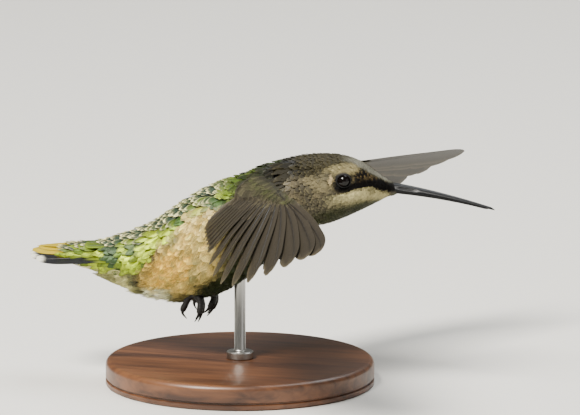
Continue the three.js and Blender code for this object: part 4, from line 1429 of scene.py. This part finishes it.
class HUMMINGBIRD_OT_plumes(bpy.types.Operator):
    """Lays loose soft feathers over flanks, belly and vent, and the tufts round the legs"""

    bl_idname = "hummingbird.plumes"
    bl_label = "Soft plumes"

    def execute(self, context):
        finish = soft_material()
        count = context.scene.hummingbird_sizes.soft_plumes
        for side in (LEFT, RIGHT):
            for which, (part, low, high) in enumerate(PLUME_STRETCHES):
                random = dice(20 + side + 3 * which)
                t = random.uniform(low, high, count * 4)
                a = side * random.uniform(0.9, math.pi, count * 4)
                top = np.interp(t, *PLUME_EDGE) + random.normal(0, 4, len(t))
                free = (np.degrees(np.abs(a)) > top) & rod_clear(body_point(t, a))
                name = "soft_plumes_{}_{}".format(part, SIDE_NAMES[side])
                piece = loose_plumes(name, t[free][:count], a[free][:count], PLUME, random)
                finish_piece(piece, finish, "body_feathers")

        random = dice(25)
        down = []
        count, (middle, spread) = LEG_TUFT["count"], LEG_TUFT["degrees"]
        for side in (LEFT, RIGHT):
            along = random.normal(*LEG_TUFT["t"], count)
            down.append((along, random.normal(middle * side, spread, count)))
        count = VENT_DOWN["count"]
        along = random.uniform(*VENT_DOWN["t"], count)
        down.append((along, random.normal(*VENT_DOWN["degrees"], count)))
        t, degrees = np.concatenate(down, axis=1)
        piece = loose_plumes("leg_and_vent_down", t, np.radians(degrees), DOWN, random)
        finish_piece(piece, finish, "body_feathers")
        return {"FINISHED"}


# ---------------------------------------------------------------- wings

def wing_place(side):
    """A function that turns a wing's own lengths out, back and up into points of the bird."""
    stroke, rise = WING["stroke"], WING["rise"]
    ahead, outward = math.sin(stroke), math.cos(stroke)
    out = np.array([ahead * math.cos(rise), side * outward * math.cos(rise), math.sin(rise)])
    back = np.array([-outward, side * ahead, 0])
    up = side * np.cross(out, back)
    root = np.array(WING["shoulder"]) * (1, side, 1)

    def place(u, v, n):
        share = np.maximum(0, u / WING["reach"])
        pitch = mix(WING["root_pitch"], WING["tip_pitch"], share)
        chord = v / WING["chord"]
        lift = n + WING["camber"] * 4 * chord * (1 - chord)
        behind = v * np.cos(pitch) + lift * np.sin(pitch)
        above = lift * np.cos(pitch) - v * np.sin(pitch) + WING["bend"] * share**2
        return root + np.asarray(u)[..., None] * out + behind[..., None] * back + above[..., None] * up

    return place


def over_body(place, gap):
    """A wing's place with points that would lie just inside the body moved out over its plumage."""

    def placed(u, v, n):
        points = place(u, v, n)
        t = np.interp(points[..., 0], STATIONS[:, 0], np.arange(LAST + 1.0))
        _, top, bottom, half = station(t)
        y, z = points[..., 1], points[..., 2] - (top + bottom) / 2
        share = np.hypot(y / (half + gap), z / ((top - bottom) / 2 + gap))
        grow = np.where(share < 1, 1 / np.maximum(share, 0.6), 1)
        points[..., 1] = y * grow
        points[..., 2] = (top + bottom) / 2 + z * grow
        return points

    return placed


def flight_feathers():
    """The wing's flight feathers from the body out to the wing tip."""
    made = []
    for group in (SECONDARIES, PRIMARIES):
        for t in np.linspace(0, 1, group["count"]):
            outer = group is PRIMARIES
            opened = 1 - (1 - t) ** 1.45 if outer else t
            grown = math.sin(t * math.pi / 2) ** 1.25 if outer else t
            made.append({
                "u": mix(*group["root_u"], t), "v": mix(*group["root_v"], t), "n": 0.0,
                "angle": mix(*group["angle"], opened), "length": mix(*group["length"], grown),
                "width": mix(*group["width"], t), "sweep": mix(*group["sweep"], t),
                "roll": math.radians(8), "fall": 0.0, "shaft": -0.5 if outer else -0.3,
                "cup": 0.09, "thick": 0.13, "quill": 0.2,
            })
    return made


def arm_height(u, v):
    """Half thickness of the arm at a place of the wing, 0 past its edges."""
    middle, half, thick = (np.interp(u, ARM[:, 0], ARM[:, k]) for k in (1, 2, 3))
    return thick * np.sqrt(np.maximum(0, 1 - ((v - middle) / half) ** 2)) * smooth(16.5, 15, u)


def flight_tint(s, edge):
    """Dusky vane, darker along the shaft and towards the tip, paler at the worn trailing edge."""
    base = paint_of("flight") * (1.12 - 0.3 * s[..., None])
    worn = smooth(0.75, 1.0, edge) + 0.6 * smooth(0.93, 1.0, s)
    pale = smooth(0.35, 0.05, s) * smooth(0.1, 0.6, edge)
    tinted = blend_to(base, paint_of("flight_edge"), np.clip(0.7 * worn + 0.35 * pale, 0, 1))
    return tinted * (1 - 0.25 * np.exp(-((edge / 0.12) ** 2)))[..., None]


def covert_tint(tone, dark):
    """Colours of one covert: a darker middle, its own tone and a thin paler edge."""

    def tint(s, edge):
        colours = np.broadcast_to(tone, s.shape + (3,)) * (0.6 + 0.4 * smooth(0.2, 0.7, s))[..., None]
        colours = blend_to(colours, dark, 0.75 * np.exp(-((edge / 0.4) ** 2)) * smooth(1.0, 0.75, s))
        rim = np.maximum(smooth(0.88, 1.0, s), smooth(0.8, 1.0, np.abs(edge)))
        return blend_to(colours, np.clip(tone * 1.35 + 0.015, 0, 1), 0.5 * rim)

    return tint


class HUMMINGBIRD_OT_wings(bpy.types.Operator):
    """Makes both wings: the arm's skin, the flight feathers and the coverts above and below"""

    bl_idname = "hummingbird.wings"
    bl_label = "Wings"

    def execute(self, context):
        vane, cover, skin = flight_material(), head_material(), skin_material()
        for side in (LEFT, RIGHT):
            name = SIDE_NAMES[side]
            random = dice(30 + side)
            place = wing_place(side)
            node = "wing_" + name

            turn = full_turn(24)
            along = np.linspace(ARM[0, 0], ARM[-1, 0], 30)[:, None] * np.ones(len(turn))
            middle, half, thick = (np.interp(along, ARM[:, 0], ARM[:, k]) for k in (1, 2, 3))
            rings = place(along, middle + 0.9 * half * np.cos(turn), 0.85 * thick * np.sin(turn))
            points, faces = closed_loft(rings)
            paint = np.broadcast_to(paint_of("flight") * 0.6, points.shape)
            arm = mesh_object("wing_arm_" + name, points, faces, paint)
            finish_piece(arm, skin, "flight_feathers", (node,))

            feathers = flight_feathers()
            pile = Pile()
            for spec, cell in zip(feathers, cells(len(feathers))):
                draped = over_body(place, 0.25) if spec["length"] < 14 else place
                blade(pile, spec, draped, flight_tint, cell, random, rows=46, columns=9)
            finish_piece(pile.object("flight_feathers_" + name), vane, "flight_feathers", (node,))

            finish_piece(self.coverts(name, place, feathers, random), cover, "flight_feathers", (node,))
        return {"FINISHED"}

    def coverts(self, name, place, feathers, random):
        """Rows of coverts from the flight feathers' roots up to the wing's leading edge, on both faces."""
        keys = ("u", "v", "angle", "length", "width")
        known = {key: np.array([f[key] for f in feathers]) for key in keys}
        steps = np.linspace(0, 1, len(feathers))
        patches = iter(cells(2 * sum(row[3] for row in WING_COVERTS)))
        pile = Pile()
        for face in (1, -1):
            for level, (ahead, share, width, count, green) in enumerate(WING_COVERTS):
                for q in np.linspace(0, 1, count):
                    root = {key: float(np.interp(q, steps, known[key])) for key in keys}
                    lead = np.interp(root["u"], ARM[:, 0], ARM[:, 1] - ARM[:, 2])
                    spec = {
                        **root, "v": mix(root["v"] - 0.3, lead, ahead) + random.normal(0, 0.08), "n": 0.0,
                        "angle": root["angle"] + random.normal(0, 0.06),
                        "length": max(1.9, min(root["length"], 17) * share) * random.uniform(0.92, 1.08),
                        "width": max(1.1, root["width"] * width * 0.72), "sweep": 0.0, "fall": 0.0,
                        "roll": face * math.radians(8), "shaft": 0.0, "cup": face * 0.1, "thick": 0.07,
                        "quill": 0.05,
                    }
                    lift = 0.16 + 0.07 * level

                    def draped(u, v, n, face=face, lift=lift):
                        return over_body(place, 0.3)(u, v, n + face * (arm_height(u, v) + lift))

                    bronze = mix(paint_of("deep_green"), paint_of("gold_green"), 0.25 * random.random())
                    bronze = mix(bronze, paint_of("crown"), random.uniform(0.5, 0.9))
                    dusky = mix(paint_of("flight"), paint_of("flight_edge"), 0.5 * random.random())
                    # Coverts under the wing take the breast's grey and its painted shade.
                    other, amount = (bronze, green) if face > 0 else (paint_of("breast_grey_and_shade"), 0.5)
                    tone = mix(dusky, other, amount)
                    tint = covert_tint(tone * random.uniform(0.6, 1.0), paint_of("flight") * 0.5)
                    blade(pile, spec, draped, tint, next(patches), random, rows=9, columns=5, splits=1)
        return pile.object("wing_coverts_" + name)


# ---------------------------------------------------------------- tail

def tail_place(u, v, n):
    """Turns the tail's own lengths back, to the left and up into points of the bird."""
    pitch = TAIL["pitch"]
    along = np.array([-math.cos(pitch), 0, -math.sin(pitch)])
    up = np.array([-math.sin(pitch), 0, math.cos(pitch)])
    left = np.array([0, 1, 0])
    return np.array(TAIL["root"]) + u[..., None] * along + v[..., None] * left + n[..., None] * up


def tail_tint(pair):
    """Colours of one pair: green in the middle, black banded and white tipped towards the sides."""
    white_from = 1 - TAIL_WHITE[pair]
    black_from = white_from - TAIL_BLACK[pair]

    def tint(s, edge):
        colours = mix(paint_of("gold_green") * 0.6, paint_of("tail_green"), smooth(0.55, 0.85, s)[..., None])
        by_shaft = 0.6 * np.exp(-((edge / 0.35) ** 2)) * smooth(1.0, 0.6, s)
        colours = blend_to(colours, paint_of("deep_green"), by_shaft)
        if TAIL_BLACK[pair]:
            black = smooth(black_from - 0.03, black_from + 0.08, s + 0.03 * edge)
            colours = blend_to(colours, paint_of("tail_black"), black)
        if TAIL_WHITE[pair]:
            white = smooth(white_from - 0.025, white_from + 0.02, s + 0.03 * np.cos(edge * 2))
            colours = blend_to(colours, paint_of("tail_white"), white)
        return colours

    return tint


class HUMMINGBIRD_OT_tail(bpy.types.Operator):
    """Makes the ten tail feathers and the coverts over and under their roots"""

    bl_idname = "hummingbird.tail"
    bl_label = "Tail"

    def execute(self, context):
        random = dice(40)
        pile = Pile()
        patches = iter(cells(2 * TAIL["pairs"]))
        for pair in reversed(range(TAIL["pairs"])):
            for side in (LEFT, RIGHT):
                t = (pair + 0.35) / (TAIL["pairs"] - 0.65)
                spec = {
                    "u": 0.6, "v": side * TAIL["root_spread"] * (pair + 0.5), "n": -TAIL["drop"] * pair,
                    "angle": side * TAIL["half_fan"] * t, "length": TAIL["length"][pair],
                    "width": mix(*TAIL["width"], t), "sweep": side * 0.35 * t,
                    "roll": side * mix(*TAIL["roll"], t), "fall": TAIL["rise"] * pair,
                    "shaft": side * 0.25 * t, "cup": 0.12, "thick": 0.13, "quill": 0.17,
                }
                blade(pile, spec, tail_place, tail_tint(pair), next(patches), random, rows=40, columns=9)
        finish_piece(pile.object("tail_feathers"), tail_material(), "tail_feathers", ("tail",))

        groups = {"upper_tail_coverts": UPPER_TAIL_COVERTS, "under_tail_coverts": UNDER_TAIL_COVERTS}
        for name, tiers in groups.items():
            pile = Pile()
            patches = iter(cells(sum(tier[1] for tier in tiers)))
            for back, count, length, width, root_n, tip_n, spread in tiers:
                for across in np.linspace(-1, 1, count):
                    arch, face = math.sqrt(1 - 0.6 * across**2), np.sign(root_n)
                    spec = {
                        "u": back - 0.8 * across**2, "v": spread * across, "n": root_n * arch,
                        "angle": math.radians(4) * across + random.normal(0, 0.03),
                        "length": length * random.uniform(0.9, 1.04), "width": width, "sweep": 0.0,
                        "roll": math.radians(24) * across * face, "fall": (tip_n - root_n) * arch,
                        "shaft": 0.0, "cup": 0.14 * face, "thick": 0.08, "quill": 0.05,
                    }
                    if root_n > 0:
                        tone = mix(paint_of("deep_green"), paint_of("gold_green"), 0.6 * random.random())
                        dark = paint_of("slate_and_grazing_reflection")
                    else:
                        tone = mix(paint_of("under_tail"), paint_of("under_tail_shade"), random.random())
                        dark = paint_of("under_tail_shade") * 0.6
                    tint = covert_tint(tone * random.uniform(0.85, 1.15), dark)
                    blade(pile, spec, tail_place, tint, next(patches), random, rows=16, columns=7, splits=3)
            finish_piece(pile.object(name), contour_material(), "tail_feathers", ("tail",))
        return {"FINISHED"}


# ---------------------------------------------------------------- bill, eyes and feet

def bill_line(along):
    """Point and pitch of the mouth's line, an arc that bends down towards the tip."""
    bend = (BILL["end_pitch"] - BILL["start_pitch"]) / BILL["length"]
    pitch = BILL["start_pitch"] + bend * along
    x = STATIONS[-1, 0] + 0.3 + (np.sin(pitch) - math.sin(BILL["start_pitch"])) / bend
    z = STATIONS[-1, 1:3].mean() - (math.cos(BILL["start_pitch"]) - np.cos(pitch)) / bend
    return x, z, pitch


def mandible(name, up, height, length, finish):
    """One mandible: an arch over or under the mouth's line, from inside the face to its tip.

    up is 1 for the upper one, which has a ridge and the nostrils' slits, and -1 for the lower.
    """
    along = np.linspace(-1.6, length, 70)[:, None]
    arch = np.linspace(0, math.pi, 22)[None]
    t = np.clip(along / length, 0, 1)
    taper = BILL["tip_share"] + (1 - BILL["tip_share"]) * (1 - t) ** 1.25
    taper = taper * np.sqrt(np.clip((1 - t) / 0.045, 0.03, 1))
    x, z, pitch = bill_line(along)
    ridge = height * taper * (np.sin(arch) + 0.12 * np.exp(-(((arch - math.pi / 2) / 0.3) ** 2)) * (up > 0))
    rise = up * ((0.035 if up > 0 else 0.02) + ridge * mix(0.94, 1, t))
    wide = BILL["half_width"] * taper * np.cos(arch) * (1.0 if up > 0 else 0.9)
    if up > 0:
        slit = np.exp(-(((along - NOSTRIL["along"]) / NOSTRIL["length"]) ** 4))
        for centre in (0.5, math.pi - 0.5):
            groove = slit * np.exp(-(((arch - centre) / 0.2) ** 2)) * NOSTRIL["depth"]
            wide = wide - np.sign(np.cos(centre)) * groove
    rings = np.stack(np.broadcast_arrays(x + rise * np.sin(pitch), wide, z + rise * np.cos(pitch)), axis=-1)
    points, faces = closed_loft(rings)
    piece = mesh_object(name, points, faces)
    return finish_piece(piece, finish, "bill", (name,))


class HUMMINGBIRD_OT_bill(bpy.types.Operator):
    """Makes the two mandibles of the bill, with its ridge and nostrils"""

    bl_idname = "hummingbird.bill"
    bl_label = "Bill"

    def execute(self, context):
        horn = horn_material("bill_horn", paint_of("horn"), 0.34)
        mandible("bill_upper", 1, BILL["upper"], BILL["length"], horn)
        mandible("bill_lower", -1, BILL["lower"], BILL["length"] - BILL["lower_short"], horn)
        return {"FINISHED"}


class HUMMINGBIRD_OT_eyes(bpy.types.Operator):
    """Makes the two eyeballs, each with its bulging cornea and the bare rim of its lids"""

    bl_idname = "hummingbird.eyes"
    bl_label = "Eyes"

    def execute(self, context):
        wet, rim = eye_material(), skin_material()
        down = np.linspace(0.02, math.pi - 0.02, 40)[:, None]
        turn = full_turn(48)[None]
        radius = EYE["radius"] * (1 + 0.05 * np.exp(-((down / 0.55) ** 2)))
        parts = (np.sin(down) * np.cos(turn), np.sin(down) * np.sin(turn), np.cos(down) * np.ones_like(turn))
        ring = np.linspace(0, TAU, 73)[:, None]
        reach = EYE["opening"] + 0.05
        height = math.sqrt(EYE["radius"] ** 2 - reach**2) + 0.03
        long, lid = EYE["almond"], np.full(len(ring), EYE["lid"])
        for side in (LEFT, RIGHT):
            centre, forward, up, out = eye_axes(side)
            rings = centre + sum((radius * p)[..., None] * way for p, way in zip(parts, (forward, up, out)))
            points, faces = closed_loft(rings)
            name = "eye_" + SIDE_NAMES[side]
            finish_piece(mesh_object(name, points, faces), wet, "eye", (name,))

            path = centre + reach * (long * np.cos(ring) * forward + np.sin(ring) * up) + height * out
            along = reach * (np.cos(ring) * up - long * np.sin(ring) * forward)
            points, faces = closed_loft(tube((path, unit(along)), lid, 10, across=out))
            paint = np.broadcast_to(paint_of("lid"), points.shape)
            finish_piece(mesh_object("lid_" + SIDE_NAMES[side], points, faces, paint), rim, "eye")
        return {"FINISHED"}


def toe_path(side, points, splay, curl):
    """Points of one toe from the ankle to the claw's tip."""
    s = np.linspace(0, 1, len(points))
    forward, up = np.array(points, float).T
    forward, up = forward - curl * s**2, up * (1 - 0.12 * curl * s)
    turn = DRAWN_BACK[side]
    x = forward * math.cos(turn) + up * math.sin(turn)
    z = up * math.cos(turn) - forward * math.sin(turn)
    ankle_x, ankle_z = ANKLE[side]
    y = side * (HIP_Y + splay * np.sin(s * math.pi * 0.55))
    return np.stack([x + ankle_x, y, z + ankle_z], axis=-1)


class HUMMINGBIRD_OT_feet(bpy.types.Operator):
    """Makes the small half-closed feet: scaled toes on one piece and the claws on another"""

    bl_idname = "hummingbird.feet"
    bl_label = "Feet"

    def execute(self, context):
        scaly = scute_material()
        horn = horn_material("claw_horn", paint_of("claw"), 0.25)
        cut = 1 - TOE["claw_share"]
        for side in (LEFT, RIGHT):
            ankle_x, ankle_z = ANKLE[side]
            toes, claws = [], []
            poses = [(FRONT_TOE, *pose) for pose in FRONT_TOES] + [(HIND_TOE, 0.0, 0.0)]
            for points, splay, curl in poses:
                at, along = smooth_path(toe_path(side, points, splay, curl), 121)
                s = np.linspace(0, 1, len(at))
                flesh = s <= cut + 0.03
                pads = 1 + 0.05 * np.sin(s * 40) ** 2 - 0.09 * np.sin(s * 11 + 0.6) ** 2
                radius = TOE["radius"] * (1 - 0.22 * s) * pads
                radius = radius * np.sqrt(np.clip((cut + 0.05 - s) / 0.05, 0.25, 1))
                toes.append(tube((at[flesh], along[flesh]), radius[flesh], 14))
                nail = s >= cut - 0.02
                share = (s[nail] - cut + 0.02) / (TOE["claw_share"] + 0.02)
                claws.append(tube((at[nail], along[nail]), mix(TOE["claw"], TOE["claw_tip"], share**0.8), 12))
            shank = smooth_path([(ankle_x + x, side * HIP_Y, ankle_z + z) for x, z in SHANK], 16)
            toes.append(tube(shank, np.linspace(*SHANK_RADIUS, 16), 14))
            node = "leg_" + SIDE_NAMES[side]
            for name, parts, finish in (("toes_", toes, scaly), ("claws_", claws, horn)):
                points, faces = [], []
                for rings in parts:
                    new, more = closed_loft(rings, first=sum(map(len, points)))
                    points.append(new)
                    faces.extend(more)
                piece = mesh_object(name + SIDE_NAMES[side], np.concatenate(points), faces)
                finish_piece(piece, finish, "feet", (node,))
        return {"FINISHED"}


# ---------------------------------------------------------------- stand

def turned(name, profile, sides, finish, slot):
    """A piece turned about the rod's axis from its profile, pairs of radius and height."""
    radius, height = np.array(profile, float).T[..., None]
    turn = full_turn(sides)
    rings = np.stack(np.broadcast_arrays(radius * np.cos(turn), radius * np.sin(turn), height), axis=-1)
    points, faces = closed_loft(rings)
    return finish_piece(mesh_object(name, points, faces, crease=40), finish, slot, (name,))


class HUMMINGBIRD_OT_stand(bpy.types.Operator):
    """Makes the walnut base and the steel rod with its collar"""

    bl_idname = "hummingbird.stand"
    bl_label = "Stand"

    def execute(self, context):
        radius, height, edge = STAND["radius"], STAND["height"], STAND["edge"]
        bend = np.linspace(0, math.pi / 2, 9)
        rounded = [(radius - edge + edge * math.cos(b), height - edge + edge * math.sin(b)) for b in bend]
        groove = [(radius, 0.25), (radius, 0.9), (radius - 0.35, 1.1), (radius - 0.35, 1.25), (radius, 1.45)]
        base = [(radius - 0.3, 0.0), *groove, *rounded, (radius * 0.5, height), (0.4, height)]
        turned("stand_base", base, 128, walnut_material(), "base")

        rod, collar, foot = STAND["rod"], STAND["collar_radius"], height + 0.02
        top = height + STAND["gap"] + STAND["collar_height"]
        profile = [
            (rod - 0.15, STAND["rod_foot"]), (rod, STAND["rod_foot"] + 0.15), (rod, foot),
            (collar - 0.15, foot), (collar, foot + 0.15), (collar, top - 0.2), (collar - 0.2, top),
            (rod + 0.35, top), (rod + 0.12, top + 0.1), (rod, top + 0.3),
            (rod, STAND["rod_top"] - 0.2), (rod - 0.2, STAND["rod_top"]),
        ]
        turned("stand_rod", profile, 64, steel_material(), "rod")
        return {"FINISHED"}


PIECES = (
    HUMMINGBIRD_OT_stage, HUMMINGBIRD_OT_skin, HUMMINGBIRD_OT_coat, HUMMINGBIRD_OT_plumes,
    HUMMINGBIRD_OT_wings, HUMMINGBIRD_OT_tail, HUMMINGBIRD_OT_bill, HUMMINGBIRD_OT_eyes,
    HUMMINGBIRD_OT_feet, HUMMINGBIRD_OT_stand,
)


class HUMMINGBIRD_PT_panel(bpy.types.Panel):
    """Lists the operators and the sizes and colours in the sidebar."""

    bl_label = "Hummingbird"
    bl_idname = "HUMMINGBIRD_PT_panel"
    bl_space_type = "VIEW_3D"
    bl_region_type = "UI"
    bl_category = "Hummingbird"

    def draw(self, context):
        for piece in PIECES:
            self.layout.operator(piece.bl_idname)
        for group in (context.scene.hummingbird_sizes, context.scene.hummingbird_colours):
            for name in group.bl_rna.properties.keys():
                if name not in ("rna_type", "name"):
                    self.layout.prop(group, name)


CLASSES = (HummingbirdSizes, HummingbirdColours, *PIECES, HUMMINGBIRD_PT_panel)


def register():
    for each in CLASSES:
        bpy.utils.register_class(each)
    bpy.types.Scene.hummingbird_sizes = PointerProperty(type=HummingbirdSizes)
    bpy.types.Scene.hummingbird_colours = PointerProperty(type=HummingbirdColours)


def unregister():
    del bpy.types.Scene.hummingbird_colours
    del bpy.types.Scene.hummingbird_sizes
    for each in reversed(CLASSES):
        bpy.utils.unregister_class(each)


def main():
    """Builds every piece in order."""
    register()
    for piece in PIECES:
        group, name = piece.bl_idname.split(".")
        getattr(getattr(bpy.ops, group), name)()


if __name__ == "__main__":
    main()
